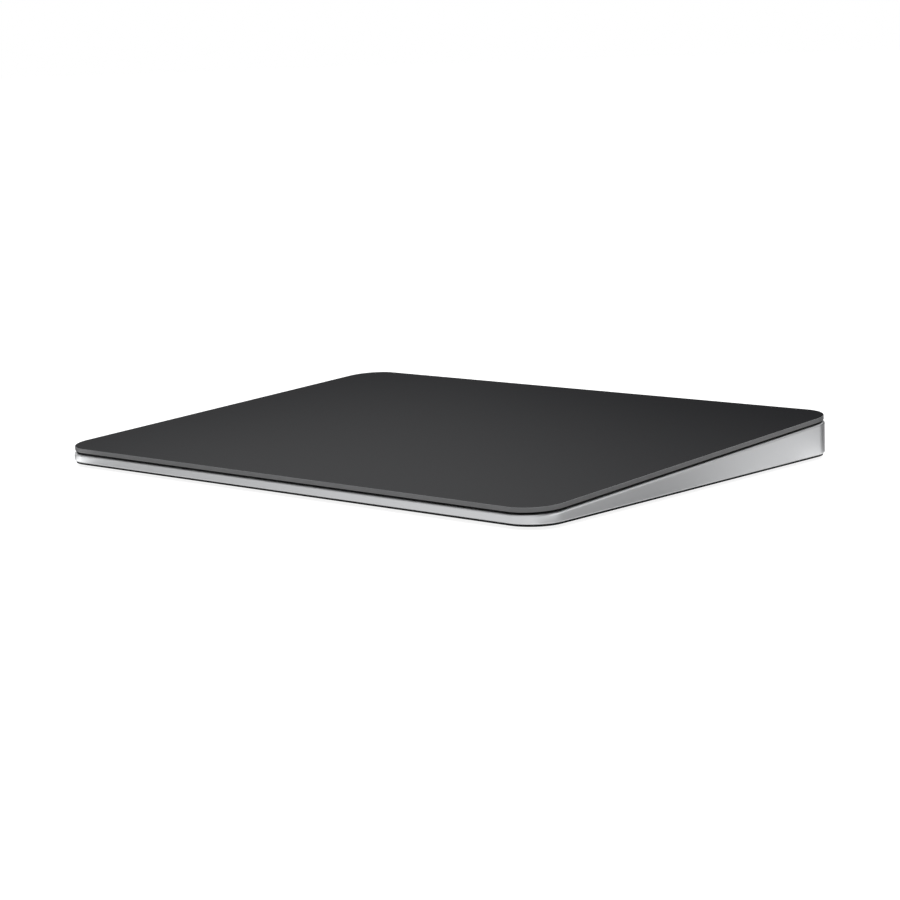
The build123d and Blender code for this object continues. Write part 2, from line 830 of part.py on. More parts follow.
def make_inlet_saddle():
    """Return the strap over the inlet, with a screwed tab on each side."""
    middle = rear_face.offset(depth / 2 - saddle_y - saddle_depth / 2) * Pos(0, inlet_z)
    tab_end = saddle_screw_x + saddle_tab
    tab_z = saddle_sheet / 2 - inlet_height / 2
    strap = saddle_arch(saddle_gap + saddle_sheet)
    strap += Pos(0, tab_z) * Rectangle(2 * tab_end, saddle_sheet)
    saddle = extrude(middle * (strap - saddle_arch(saddle_gap)), amount=saddle_depth)
    for x, y in saddle_screw_points():
        saddle -= stand(Circle(board_screw_radius + board_hole_clearance), x, y, board_top, saddle_sheet)
    return saddle


# Power switch


def make_switch_body():
    """Return the switch on the main board, with the slot that takes the knob's stem."""
    block = Rectangle(switch_body_length, switch_body_depth)
    y = board_rear - switch_body_depth / 2
    body = stand(block, switch_body_x, y, board_top, switch_body_height)
    return body - stem_slot(depth / 2 - board_rear + switch_slot_depth)


def make_switch_knob():
    """Return the grooved knob and its stem, in the off position."""
    place = rear_face * Pos(knob_x, switch_z, knob_setback)
    knob = RectangleRounded(knob_length, knob_height, rounded_end(knob_height))
    knob = extrude(place * knob, amount=knob_thickness)
    groove = Rectangle(knob_groove, knob_height - 2 * knob_groove_margin)
    for step in (-1, 0, 1):
        line = place * Pos(step * knob_groove_pitch, 0) * groove
        knob -= extrude(line, amount=knob_groove_depth)
    back = knob_setback + knob_thickness
    stem = Pos(stem_offset, 0, knob_thickness) * Rectangle(stem_length, stem_height)
    stem_reach = depth / 2 - board_rear + switch_slot_depth - back - stem_end_gap
    return knob + extrude(place * stem, amount=stem_reach)


def make_switch_marker():
    """Return the coloured film at the off end of the recess, which the knob covers until it is on."""
    end = recess_length - 2 * knob_clearance
    film = RectangleRounded(end, knob_height, rounded_end(knob_height))
    slot_edge = stem_offset - stem_slot_length / 2 - marker_slot_gap
    film -= Pos(slot_edge + end / 2, 0) * Rectangle(end, recess_height)
    place = rear_face * Pos(switch_x, switch_z, recess_depth)
    return extrude(place * film, amount=-marker_thickness)


# Antenna


def make_antenna_carrier():
    """Return the moulded stand on the board, open between its two legs."""
    y = board_rear - antenna_depth / 2
    base = Rectangle(antenna_length, antenna_depth)
    stand_block = stand(base, antenna_x, y, board_top, antenna_height)
    room = Rectangle(antenna_length - 2 * antenna_leg, antenna_depth)
    return stand_block - stand(room, antenna_x, y, board_top, antenna_height - antenna_leg / 2)


def make_antenna_foil():
    """Return the folded foil trace on top of the carrier."""
    length = antenna_length - 2 * antenna_foil_margin
    breadth = antenna_depth - 2 * antenna_foil_margin
    gap = Rectangle(length, breadth - 2 * antenna_strip)
    fold = Rectangle(length, breadth) - Pos(-antenna_strip, 0) * gap
    y = board_rear - antenna_depth / 2
    return stand(fold, antenna_x, y, board_top + antenna_height, antenna_foil)


def main():
    """Write every node."""
    os.makedirs("parts", exist_ok=True)
    save("housing", make_housing())
    save("base_sheet", make_base_sheet())
    for name, (x, y) in foot_points().items():
        save(f"foot_{name}", make_foot(x, y))
    save("dust_seal", make_dust_seal())
    save("touch_glass", make_touch_glass())
    save("touch_sensor_board", make_sensor_board())
    save("stiffener_plate", make_stiffener())
    save("touch_controller_chips", *make_controller_chips())
    save("sensor_connector", make_sensor_connector())
    save("attraction_bar", make_attraction_bar())
    for corner in corners:
        save(f"gel_pad_{corner}", make_gel_pad(corner))
        save(f"flexure_arm_{corner}", make_flexure_arm(corner))
    save("strain_gauges", *[make_strain_gauge(corner) for corner in corners])
    save("flexure_screws", *make_arm_screws())
    save("haptic_bracket", make_haptic_bracket())
    for name, side in sides.items():
        save(f"haptic_core_{name}", make_haptic_core(side))
        save(f"haptic_coils_{name}", *make_haptic_coils(side))
        save(f"battery_{name}", make_battery(side))
        save(f"battery_guard_{name}", make_battery_guard(side))
        save(f"shield_can_{name}", make_shield_can(side))
    save("haptic_screws", *make_haptic_screws())
    save("haptic_cable", make_haptic_cable())
    save("battery_lead_left", make_battery_lead(left_lead_x))
    save("battery_lead_right", make_battery_lead(right_lead_x))
    save("main_board", make_main_board())
    save("board_screws", *make_board_screws(board_screw_points(), 0))
    save("board_chips", *make_board_chips())
    save("board_connectors", *make_board_connectors())
    save("sensor_cable", make_sensor_cable())
    save("inlet_shell", make_inlet_shell())
    save("inlet_tongue", make_inlet_tongue())
    save("inlet_saddle", make_inlet_saddle())
    save("inlet_screws", *make_board_screws(saddle_screw_points(), saddle_sheet))
    save("switch_body", make_switch_body())
    save("switch_marker", make_switch_marker())
    save("switch_knob", make_switch_knob())
    save("antenna_carrier", make_antenna_carrier())
    save("antenna_foil", make_antenna_foil())


main()
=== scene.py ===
import json
from math import atan2, cos, pi, radians, sin, tan

import bmesh
import bpy
from bpy.props import FloatProperty, FloatVectorProperty, PointerProperty
from mathutils import Matrix, Vector

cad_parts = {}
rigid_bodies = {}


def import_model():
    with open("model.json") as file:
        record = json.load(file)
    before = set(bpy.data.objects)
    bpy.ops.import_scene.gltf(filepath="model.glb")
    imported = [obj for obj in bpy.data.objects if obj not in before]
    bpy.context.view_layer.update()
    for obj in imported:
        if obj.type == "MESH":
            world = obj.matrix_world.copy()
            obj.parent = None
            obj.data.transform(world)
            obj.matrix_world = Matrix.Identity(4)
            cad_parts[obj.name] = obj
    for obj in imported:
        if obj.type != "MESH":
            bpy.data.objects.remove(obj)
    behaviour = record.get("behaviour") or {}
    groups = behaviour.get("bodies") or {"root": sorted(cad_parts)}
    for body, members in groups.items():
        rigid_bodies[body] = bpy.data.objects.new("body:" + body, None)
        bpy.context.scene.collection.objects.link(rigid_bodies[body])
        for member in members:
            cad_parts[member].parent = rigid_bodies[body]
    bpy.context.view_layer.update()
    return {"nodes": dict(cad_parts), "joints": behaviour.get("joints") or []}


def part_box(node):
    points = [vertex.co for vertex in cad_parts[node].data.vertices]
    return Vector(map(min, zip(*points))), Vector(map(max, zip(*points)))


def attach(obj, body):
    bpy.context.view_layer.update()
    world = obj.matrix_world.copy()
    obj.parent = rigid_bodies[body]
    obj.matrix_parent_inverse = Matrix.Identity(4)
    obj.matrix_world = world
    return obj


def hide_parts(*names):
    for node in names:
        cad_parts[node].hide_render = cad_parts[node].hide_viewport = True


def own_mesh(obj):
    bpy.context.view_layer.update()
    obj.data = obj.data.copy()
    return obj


bl_info = {
    "name": "Desk Trackpad",
    "version": (1, 0, 0),
    "blender": (4, 5, 0),
    "location": "View3D > Sidebar > Trackpad",
    "description": "Finishes a wedge-shaped desk trackpad, inside and out, piece by piece",
    "category": "Add Mesh",
}

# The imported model. Everything is in metres: +X right, +Y to the thick rear edge, +Z up from the desk.
# A level is a distance square to the glass from its top face: zero on the top, negative below.
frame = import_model()
joints = {joint["name"]: joint for joint in frame["joints"]}

MM = 0.001
MERGE = 0.001 * MM  # points nearer than this are one
FLAT = radians(0.3)  # faces that turn by less are joined
CREASE = radians(30)  # edges that turn by more are rounded
SHARP = radians(35)  # edges that turn by more are shaded sharp
SMALL_EDGE = 0.02 * MM  # radius of the edges of contacts and small board parts
press_axis = Vector(joints["plate_press"]["axis"])
slope = atan2(-press_axis.y, press_axis.z)
glass_low, glass_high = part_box("touch_glass")
housing_low, housing_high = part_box("housing")
glass_top = max((vertex.co for vertex in frame["nodes"]["touch_glass"].data.vertices), key=lambda at: at.z)
centre_height = glass_top.z - glass_top.y * tan(slope)  # of the glass's top, over the outline's middle


def height_at(y, level):
    """Return the height over y of the sloping plane at this level."""
    return centre_height + y * tan(slope) + level / cos(slope)


def on_slope(x, y, level):
    """Return the matrix that lays a flat piece on the sloping plane at this level."""
    return Matrix.Translation((x, y, height_at(y, level))) @ Matrix.Rotation(slope, 4, "X")


# Sizes and colours that a user would change


class PlateSizes(bpy.types.PropertyGroup):
    """Sizes of the touch plate."""

    width: FloatProperty(name="Width", description="Breadth of the glass", unit="LENGTH",
                         default=glass_high.x - glass_low.x)
    thickness: FloatProperty(name="Thickness", description="Thickness of the glass", unit="LENGTH",
                             default=1.1 * MM)
    corner_radius: FloatProperty(name="Corner radius", description="Radius of the glass's corners",
                                 unit="LENGTH", default=8.75 * MM)
    edge_round: FloatProperty(name="Edge round", description="Radius of the ground edges",
                              unit="LENGTH", default=0.12 * MM)


class FinishColours(bpy.types.PropertyGroup):
    """Colours of the two finishes that show most."""

    aluminium: FloatVectorProperty(name="Aluminium", description="Colour of the housing", subtype="COLOR",
                                   default=(0.582, 0.588, 0.598))
    glass: FloatVectorProperty(name="Glass", description="Colour of the glass's printed back",
                               subtype="COLOR", default=(0.0077, 0.0079, 0.0091))


class StageSizes(bpy.types.PropertyGroup):
    """The camera, as it stood for the photograph, and the light."""

    azimuth: FloatProperty(name="Azimuth", description="Turn of the camera round the object",
                           subtype="ANGLE", default=radians(42.497))
    elevation: FloatProperty(name="Elevation", description="Height of the camera as an angle",
                             subtype="ANGLE", default=radians(9.44))
    roll: FloatProperty(name="Roll", description="Turn of the camera about its own line",
                        subtype="ANGLE", default=radians(-1.856))
    distance: FloatProperty(name="Distance", description="From the camera to its target",
                            unit="LENGTH", default=598.85 * MM)
    lens: FloatProperty(name="Lens", description="Focal length", unit="CAMERA", default=93.88)
    target: FloatVectorProperty(name="Target", description="Where the camera looks", subtype="TRANSLATION",
                                default=(-3.59 * MM, 6.86 * MM, 1.32 * MM))
    fill: FloatProperty(name="Fill", description="Light of the surroundings on the object", default=0.5)
    floor_glow: FloatProperty(name="Floor glow", description="How white the floor shows", default=0.88)
    lamp_power: FloatProperty(name="Lamp power", description="Power of the lamp overhead", unit="POWER",
                              default=18.0)


# Meshes and node trees


def add_object(name, data):
    """Link a mesh, a camera or a lamp to the scene as a new object."""
    made = bpy.data.objects.new(name, data)
    bpy.context.scene.collection.objects.link(made)
    return made


def connect(tree, value, socket):
    """Link a socket or a node's first output to an input, or set the input to a value."""
    if isinstance(value, bpy.types.Node):
        value = value.outputs[0]
    if isinstance(value, bpy.types.NodeSocket):
        tree.links.new(value, socket)
    else:
        socket.default_value = value


def add_node(tree, kind, inputs=None, **settings):
    """Add a node with these inputs and settings."""
    made = tree.nodes.new(kind)
    for name, value in settings.items():
        setattr(made, name, value)
    for key, value in (inputs or {}).items():
        connect(tree, value, made.inputs[key])
    return made


def calculate(tree, operation, first, second=0.0, third=0.0):
    """Add a Math node of either kind of tree and return its output."""
    return add_node(tree, "ShaderNodeMath", {0: first, 1: second, 2: third}, operation=operation).outputs[0]


def even(made, edge):
    """Smooth a piece, with its sharp edges rounded by this radius."""
    made.data.shade_smooth()
    if edge:
        bevel = made.modifiers.new("edges", "BEVEL")
        bevel.width = edge
        bevel.segments = 2
        bevel.limit_method = "ANGLE"
        bevel.angle_limit = CREASE
    weighted = made.modifiers.new("normals", "WEIGHTED_NORMAL")
    weighted.keep_sharp = True
    return made


def sharpened(made, edge=0.0):
    """Give a grown piece even normals, and edges of this radius."""
    even(made, edge).data.set_sharp_from_angle(angle=SHARP)
    return made


def merged_node(node):
    """Return a CAD node's mesh for editing, with its doubles merged."""
    merged = bmesh.new()
    merged.from_mesh(frame["nodes"][node].data)
    bmesh.ops.remove_doubles(merged, verts=merged.verts, dist=MERGE)
    return merged


def edited_mesh(name, edited):
    """Return what was edited as a new mesh."""
    mesh = bpy.data.meshes.new(name)
    edited.to_mesh(mesh)
    edited.free()
    return mesh


def point_mesh(name, places):
    """Return a mesh of loose points."""
    mesh = bpy.data.meshes.new(name)
    mesh.from_pydata(places, [], [])
    return mesh


def place(piece, body, slot, *nodes):
    """Let a finished piece ride on its body and stand for its CAD nodes."""
    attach(piece, body)
    if nodes:
        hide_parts(*nodes)


def refine(edges, body="housing"):
    """Copy each named CAD node in the finish of its slot, with edges of this radius in millimetres."""
    for (piece, node), edge in edges.items():
        merged = merged_node(node)
        bmesh.ops.dissolve_limit(merged, angle_limit=FLAT, use_dissolve_boundaries=False,
                                 verts=merged.verts, edges=merged.edges)
        made = even(add_object(piece, edited_mesh(piece, merged)), edge * MM)
        slot = frame["nodes"][node].data.materials[0].name
        made.data.materials.clear()
        made.data.materials.append(finish(slot))
        place(made, body, slot, node)


def solids(node, tilt=0.0):
    """Return the corners of each separate solid of a CAD node, measured along its own slope."""
    merged = merged_node(node)
    turn = Matrix.Rotation(-tilt, 3, "X")
    left = set(merged.verts)
    found = []
    while left:
        reached = [left.pop()]
        members = []
        while reached:
            vertex = reached.pop()
            members.append(turn @ vertex.co)
            for edge in vertex.link_edges:
                other = edge.other_vert(vertex)
                if other in left:
                    left.discard(other)
                    reached.append(other)
        found.append(tuple(Vector([end(axis) for axis in zip(*members)]) for end in (min, max)))
    merged.free()
    return sorted(found, key=lambda box: (round(box[0].x, 6), round(box[0].y, 6)))


def lathed(name, profile, steps):
    """Return a closed mesh turned round Z; the profile's entries are a radius, a height and a lobe depth."""
    turned = bmesh.new()
    rings = []
    for radius, height, lobe in profile:
        angles = [2 * pi * step / steps for step in range(steps if radius else 1)]
        reaches = [radius * (1 + lobe * cos(6 * angle)) for angle in angles]
        rings.append([turned.verts.new((reach * cos(angle), reach * sin(angle), height))
                      for reach, angle in zip(reaches, angles)])
    for upper, lower in zip(rings, rings[1:]):
        for step in range(steps):
            after = (step + 1) % steps
            corners = [upper[step % len(upper)], upper[after % len(upper)],
                       lower[after % len(lower)], lower[step % len(lower)]]
            turned.faces.new(dict.fromkeys(corners))
    bmesh.ops.recalc_face_normals(turned, faces=turned.faces)
    return edited_mesh(name, turned)


def rounded_rim(radius, bend, height, side, steps):
    """Return the profile of a rounded rim from its face outwards; the side is 1 for up and -1 for down."""
    angles = [step * pi / 2 / steps for step in range(steps + 1)]
    return [(radius - bend + bend * sin(angle), height - side * bend * (1 - cos(angle)), 0)
            for angle in angles]


def rectangle(low, high):
    """Return the corners of a level or upright rectangle, given its lowest and its highest."""
    (x, y, z), (far_x, far_y, far_z) = low, high
    if z == far_z:
        return [low, (far_x, y, z), high, (x, far_y, z)]
    return [low, (far_x, far_y, z), high, (x, y, far_z)]


# Finishes


def new_finish(name):
    """Start a material and return it with its tree, its shader and the object's own coordinates."""
    made = bpy.data.materials.new(name)
    made.use_nodes = True
    tree = made.node_tree
    shader = tree.nodes["Principled BSDF"]
    where = add_node(tree, "ShaderNodeTexCoord").outputs["Object"]
    return made, tree, shader, where


def settle(shader, values):
    """Set a shader's own sockets."""
    for name, value in values.items():
        shader.inputs[name].default_value = value


def noise(tree, where, size, detail=2.0):
    """Add a noise whose grains are about this size and return its value."""
    made = add_node(tree, "ShaderNodeTexNoise", {"Vector": where, "Scale": 1 / size, "Detail": detail})
    return made.outputs[0]


def spread(tree, value, low, high):
    """Map a texture's value onto a range."""
    return add_node(tree, "ShaderNodeMapRange", {"Value": value, "To Min": low, "To Max": high}).outputs[0]


def relief(tree, shader, height, depth):
    """Raise a surface by a texture's value."""
    bump = add_node(tree, "ShaderNodeBump", {"Height": height, "Distance": depth})
    tree.links.new(bump.outputs[0], shader.inputs["Normal"])


def along(tree, where, direction):
    """Return how far a place lies along a direction."""
    return add_node(tree, "ShaderNodeVectorMath", {0: where, 1: direction},
                    operation="DOT_PRODUCT").outputs["Value"]


def stripes(tree, where, direction, pitch, share):
    """Return one on stripes that cross a direction at this pitch, and zero between them."""
    turns = calculate(tree, "DIVIDE", along(tree, where, direction), pitch)
    return calculate(tree, "LESS_THAN", calculate(tree, "FRACT", turns), share)


def cells(tree, where, size, output="Distance"):
    """Add Voronoi cells of about this size and return one of their outputs."""
    return add_node(tree, "ShaderNodeTexVoronoi", {"Vector": where, "Scale": 1 / size}).outputs[output]


def patches(tree, where, size):
    """Return a value that changes from cell to cell."""
    return add_node(tree, "ShaderNodeSeparateColor", {0: cells(tree, where, size, "Color")}).outputs[0]


def paint(tree, shader, factor, first, second):
    """Colour a surface with two colours mixed by a value, and return the mix."""
    made = add_node(tree, "ShaderNodeMix", {0: factor, 6: first, 7: second}, data_type="RGBA").outputs[2]
    tree.links.new(made, shader.inputs["Base Color"])
    return made


def shade(colour, factor):
    """Return a colour made lighter or darker."""
    return (*[min(1.0, part * factor) for part in colour[:3]], 1)


def grained(name, colour, rough, size, depth, metallic=0.0, level=0.5, stretch=(1, 1, 1)):
    """Make a finish whose grain, stretched along an axis, gives its colour, roughness and relief.

    It returns what new_finish does, and the colour's socket.
    """
    made, tree, shader, where = new_finish(name)
    drawn = add_node(tree, "ShaderNodeVectorMath", {0: where, 1: stretch}, operation="MULTIPLY").outputs[0]
    grain = noise(tree, drawn, size)
    tone = paint(tree, shader, noise(tree, drawn, 25 * size), shade(colour, 0.88), shade(colour, 1.12))
    tree.links.new(spread(tree, grain, *rough), shader.inputs["Roughness"])
    settle(shader, {"Metallic": metallic, "Specular IOR Level": level})
    relief(tree, shader, grain, depth)
    return made, tree, shader, where, tone


def anodised_aluminium(name):
    """Silver anodised aluminium, bead-blasted."""
    made, tree, shader, where = new_finish(name)
    settle(shader, {"Base Color": (*bpy.context.scene.trackpad_finish.aluminium, 1), "Metallic": 1.0})
    fine = noise(tree, where, 0.12 * MM)
    tree.links.new(spread(tree, fine, 0.34, 0.46), shader.inputs["Roughness"])
    relief(tree, shader, fine, 0.004 * MM)
    return made


def satin_dark_glass(name):
    """The glass's top: dark, etched to a satin."""
    made, tree, shader, where = new_finish(name)
    settle(shader, {"Base Color": (*bpy.context.scene.trackpad_finish.glass, 1), "Specular IOR Level": 0.0,
                    "Roughness": 0.6, "Coat Weight": 0.16, "Coat Roughness": 0.2})
    relief(tree, shader, noise(tree, where, 0.15 * MM), 0.001 * MM)
    return made


def ground_glass(name):
    """The glass's ground edge, lighter than its top."""
    return grained(name, (0.155, 0.157, 0.161), (0.36, 0.46), 0.2 * MM, 0.002 * MM)[0]


def black_foam(name):
    """Closed-cell foam: a skin of small bubbles."""
    made, tree, shader, where, _ = grained(name, (0.004, 0.004, 0.004), (0.8, 0.95), 0.1 * MM, 0.01 * MM,
                                           level=0.1)
    relief(tree, shader, cells(tree, where, 0.25 * MM), 0.05 * MM)
    return made


def laminate(name, resist, copper):
    """Return a circuit board finish: solder resist over copper tracks that run either way."""
    made, tree, shader, where, tone = grained(name, resist, (0.25, 0.4), 0.2 * MM, 0.002 * MM)
    turned = calculate(tree, "GREATER_THAN", patches(tree, where, 6 * MM), 0.5)
    unturned = calculate(tree, "SUBTRACT", 1.0, turned)
    across, lengthwise = (
        calculate(tree, "MULTIPLY", stripes(tree, where, direction, 0.5 * MM, 0.45), chosen)
        for direction, chosen in (((1, 0, 0), turned), ((0, 1, 0), unturned)))
    tracks = calculate(tree, "ADD", across, lengthwise)
    paint(tree, shader, tracks, tone, copper)
    relief(tree, shader, tracks, 0.015 * MM)
    return made


def tracked_film(name, film, track, pitch):
    """Return a thin film finish with tracks in it, side by side along X."""
    made, tree, shader, where, tone = grained(name, film, (0.25, 0.38), 0.2 * MM, 0.002 * MM)
    tracks = stripes(tree, where, (1, 0, 0), pitch, 0.55)
    paint(tree, shader, tracks, tone, track)
    relief(tree, shader, tracks, 0.01 * MM)
    return made


def can_steel(name):
    """Tinned sheet with the pale crystals that tin forms."""
    pale, grey = (0.66, 0.66, 0.64), (0.60, 0.60, 0.58)
    made, tree, shader, where, _ = grained(name, pale, (0.24, 0.36), 0.1 * MM, 0.002 * MM, 1.0)
    paint(tree, shader, patches(tree, where, 1.2 * MM), (*grey, 1), (*pale, 1))
    return made


def soft_iron(name):
    """A ground stack of thin iron sheets."""
    iron, seam = (0.3, 0.29, 0.28), (0.09, 0.08, 0.075, 1)
    made, tree, shader, where, tone = grained(name, iron, (0.38, 0.55), 0.1 * MM, 0.004 * MM, 1.0)
    seams = stripes(tree, where, (0, -sin(slope), cos(slope)), 0.35 * MM, 0.12)
    paint(tree, shader, seams, tone, seam)
    relief(tree, shader, seams, -0.02 * MM)
    return made


def pouch_foil(name):
    """Laminated foil, softly creased."""
    foil = (0.3, 0.3, 0.31)
    made, tree, shader, where, _ = grained(name, foil, (0.3, 0.42), 0.15 * MM, 0.003 * MM, 1.0)
    creases = calculate(tree, "MULTIPLY", noise(tree, where, 5 * MM, 4.0), noise(tree, where, 1.2 * MM))
    relief(tree, shader, creases, 0.25 * MM)
    return made


def gel(name):
    """Soft clear silicone with a faint bloom."""
    made, _, shader, _, _ = grained(name, (0.62, 0.66, 0.7), (0.16, 0.22), 0.6 * MM, 0.001 * MM)
    settle(shader, {"Transmission Weight": 0.55, "IOR": 1.41})
    return made


# How each slot is finished. The plain ones have a colour, a range of roughness, and a grain size and a
# depth in millimetres; some have a share of metal, a specular level and a stretch of the grain too.
PLAIN = {
    "dark_sheet": ((0.006, 0.006, 0.0065), (0.5, 0.7), 0.3, 0.01, 0.0, 0.15),
    "spring_steel": ((0.52, 0.51, 0.49), (0.22, 0.4), 0.08, 0.003, 1.0, 0.5, (1, 0.03, 1)),
    "screw_steel": ((0.25, 0.25, 0.26), (0.25, 0.42), 0.06, 0.003, 1.0),
    "inlet_steel": ((0.6, 0.6, 0.6), (0.22, 0.36), 0.06, 0.003, 1.0, 0.5, (1, 0.04, 1)),
    "copper": ((0.72, 0.35, 0.18), (0.18, 0.34), 0.1, 0.002, 1.0),
    "chip_resin": ((0.03, 0.03, 0.03), (0.5, 0.68), 0.08, 0.006, 0.0, 0.4),
    "ivory_plastic": ((0.75, 0.71, 0.6), (0.38, 0.5), 0.15, 0.003),
    "black_plastic": ((0.03, 0.03, 0.03), (0.36, 0.5), 0.15, 0.004),
    "knob_plastic": ((0.6, 0.61, 0.62), (0.36, 0.46), 0.12, 0.003),
    "marker_film": ((0.05, 0.55, 0.15), (0.4, 0.5), 0.1, 0.002),
    "foot_rubber": ((0.1, 0.1, 0.11), (0.7, 0.88), 0.12, 0.01, 0.0, 0.3),
    "contact_gold": ((0.85, 0.62, 0.28), (0.2, 0.3), 0.05, 0.001, 1.0, 0.5, (1, 0.1, 1)),
    "terminal_tin": ((0.7, 0.69, 0.66), (0.25, 0.4), 0.05, 0.002, 1.0),
    "ceramic": ((0.35, 0.27, 0.19), (0.4, 0.55), 0.05, 0.002),
}
PATTERNED = {
    "anodised_aluminium": anodised_aluminium,
    "satin_dark_glass": satin_dark_glass,
    "ground_glass": ground_glass,
    "black_foam": black_foam,
    "can_steel": can_steel,
    "soft_iron": soft_iron,
    "pouch_foil": pouch_foil,
    "gel": gel,
    "sensor_laminate": lambda name: laminate(name, (0.04, 0.1, 0.06), (0.07, 0.17, 0.1, 1)),
    "board_laminate": lambda name: laminate(name, (0.02, 0.03, 0.05), (0.035, 0.055, 0.09, 1)),
    "amber_film": lambda name: tracked_film(name, (0.62, 0.33, 0.06), (0.66, 0.26, 0.05, 1), 0.5 * MM),
    "gauge_film": lambda name: tracked_film(name, (0.6, 0.36, 0.1), (0.3, 0.24, 0.16, 1), 0.3 * MM),
}


def finish(slot):
    """Return the finish of a slot, made once."""
    name = slot + "_finish"
    made = bpy.data.materials.get(name)
    if made is None and slot in PLAIN:
        colour, rough, size, depth, *rest = PLAIN[slot]
        made = grained(name, colour, rough, size * MM, depth * MM, *rest)[0]
    return made or PATTERNED[slot](name)


# Pieces


def new_tree(name, **inputs):
    """Start a geometry tree that takes a geometry and these names, given by their kind of socket."""
    tree = bpy.data.node_groups.new(name, "GeometryNodeTree")
    tree.is_modifier = True
    tree.interface.new_socket("Geometry", in_out="OUTPUT", socket_type="NodeSocketGeometry")
    for kind, names in {"Geometry": ("Geometry",), **inputs}.items():
        for item in names:
            tree.interface.new_socket(item, in_out="INPUT", socket_type="NodeSocket" + kind)
    return tree, add_node(tree, "NodeGroupInput").outputs


def end_tree(tree, geometry, material, chosen=None, other=None):
    """Make a tree's copies real, give them a material, and the chosen faces another, and return the tree."""
    ended = add_node(tree, "GeometryNodeRealizeInstances", {"Geometry": geometry})
    ended = add_node(tree, "GeometryNodeSetMaterial", {"Geometry": ended, "Material": material})
    if chosen is not None:
        ended = add_node(tree, "GeometryNodeSetMaterial",
                         {"Geometry": ended, "Selection": chosen, "Material": other})
    add_node(tree, "NodeGroupOutput", {0: ended})
    return tree


def enabled(made):
    """Return a node's output of the kind that it is set to."""
    return next(socket for socket in made.outputs if socket.enabled)


def vector(tree, **parts):
    """Add a node that puts a vector together."""
    return add_node(tree, "ShaderNodeCombineXYZ", parts)


def moved(tree, geometry, **parts):
    """Add a node that moves a geometry."""
    return add_node(tree, "GeometryNodeTransform",
                    {"Geometry": geometry, "Translation": vector(tree, **parts)})


def copied(tree, points, piece, **turn):
    """Add a node that sets a turned copy of a piece on each point."""
    return add_node(tree, "GeometryNodeInstanceOnPoints", {
        "Points": points, "Instance": piece, "Rotation": vector(tree, **turn)})


def strung(tree, count):
    """Add a curve of this many points, and return it with their index."""
    line = add_node(tree, "GeometryNodeCurvePrimitiveLine")
    line = add_node(tree, "GeometryNodeResampleCurve", {"Curve": line, "Count": count})
    return line, add_node(tree, "GeometryNodeInputIndex").outputs[0]


def rounded_outline(tree, width, height, radius, steps):
    """Add a rectangle of curve with filleted corners."""
    ring = add_node(tree, "GeometryNodeCurvePrimitiveQuadrilateral", {"Width": width, "Height": height},
                    mode="RECTANGLE")
    return add_node(tree, "GeometryNodeFilletCurve", {"Curve": ring, "Count": steps, "Radius": radius},
                    mode="POLY")


def plate_tree():
    """Build the tree of a flat plate: an edge profile swept round a filleted outline, and two caps."""
    tree, given = new_tree("plate", Float=("Width", "Length", "Corner radius", "Thickness", "Edge round"),
                           Int=("Corner steps", "Edge steps"), Material=("Face finish", "Edge finish"))
    edge = given["Edge round"]
    # The outline, drawn in by the edge's radius
    grown = calculate(tree, "MULTIPLY", edge, 2.0)
    width, length = (calculate(tree, "SUBTRACT", given[name], grown) for name in ("Width", "Length"))
    radius = calculate(tree, "SUBTRACT", given["Corner radius"], edge)
    path = rounded_outline(tree, width, length, radius, given["Corner steps"])
    # The edge profile: a half circle whose halves stand apart by the plate's straight side
    count = calculate(tree, "MULTIPLY", given["Edge steps"], 2.0)
    line, index = strung(tree, count)
    turn = calculate(tree, "DIVIDE", index, calculate(tree, "SUBTRACT", count, 1.0))
    turn = calculate(tree, "MULTIPLY", turn, pi)
    side = calculate(tree, "COSINE", turn)
    half = calculate(tree, "DIVIDE", given["Thickness"], 2.0)
    straight = calculate(tree, "SUBTRACT", half, edge)
    level = calculate(tree, "MULTIPLY", calculate(tree, "SIGN", side), straight)
    level = calculate(tree, "MULTIPLY_ADD", side, edge, level)
    out = calculate(tree, "MULTIPLY", calculate(tree, "SINE", turn), edge)
    profile = add_node(tree, "GeometryNodeSetPosition", {
        "Geometry": line, "Position": vector(tree, X=out, Y=level)})
    rim = add_node(tree, "GeometryNodeCurveToMesh", {"Curve": path, "Profile Curve": profile})
    # The caps
    cap = add_node(tree, "GeometryNodeFillCurve", {"Curve": path}, mode="NGONS")
    top = moved(tree, cap, Z=half)
    under = moved(tree, cap, Z=calculate(tree, "MULTIPLY", half, -1.0))
    joined = add_node(tree, "GeometryNodeJoinGeometry")
    for piece in (rim, top, add_node(tree, "GeometryNodeFlipFaces", {"Mesh": under})):
        connect(tree, piece, joined.inputs[0])
    merged = add_node(tree, "GeometryNodeMergeByDistance", {"Geometry": joined, "Distance": MERGE})
    normal = add_node(tree, "ShaderNodeSeparateXYZ", {0: add_node(tree, "GeometryNodeInputNormal")})
    flat = calculate(tree, "GREATER_THAN", calculate(tree, "ABSOLUTE", normal.outputs[2]), 0.9999)
    return end_tree(tree, merged, given["Edge finish"], flat, given["Face finish"])


def grown_mesh(name, tree, values, base=None):
    """Run a geometry tree with these named inputs and return its result as a plain mesh."""
    carrier = add_object(name + "_carrier", base or bpy.data.meshes.new(name + "_base"))
    modifier = carrier.modifiers.new("tree", "NODES")
    modifier.node_group = tree
    sockets = {item.name: item.identifier for item in tree.interface.items_tree if item.in_out == "INPUT"}
    for key, value in values.items():
        modifier[sockets[key]] = value
    graph = bpy.context.evaluated_depsgraph_get()
    mesh = bpy.data.meshes.new_from_object(carrier.evaluated_get(graph), depsgraph=graph)
    carrier.modifiers.remove(modifier)
    bpy.data.objects.remove(carrier)
    mesh.name = name
    return mesh


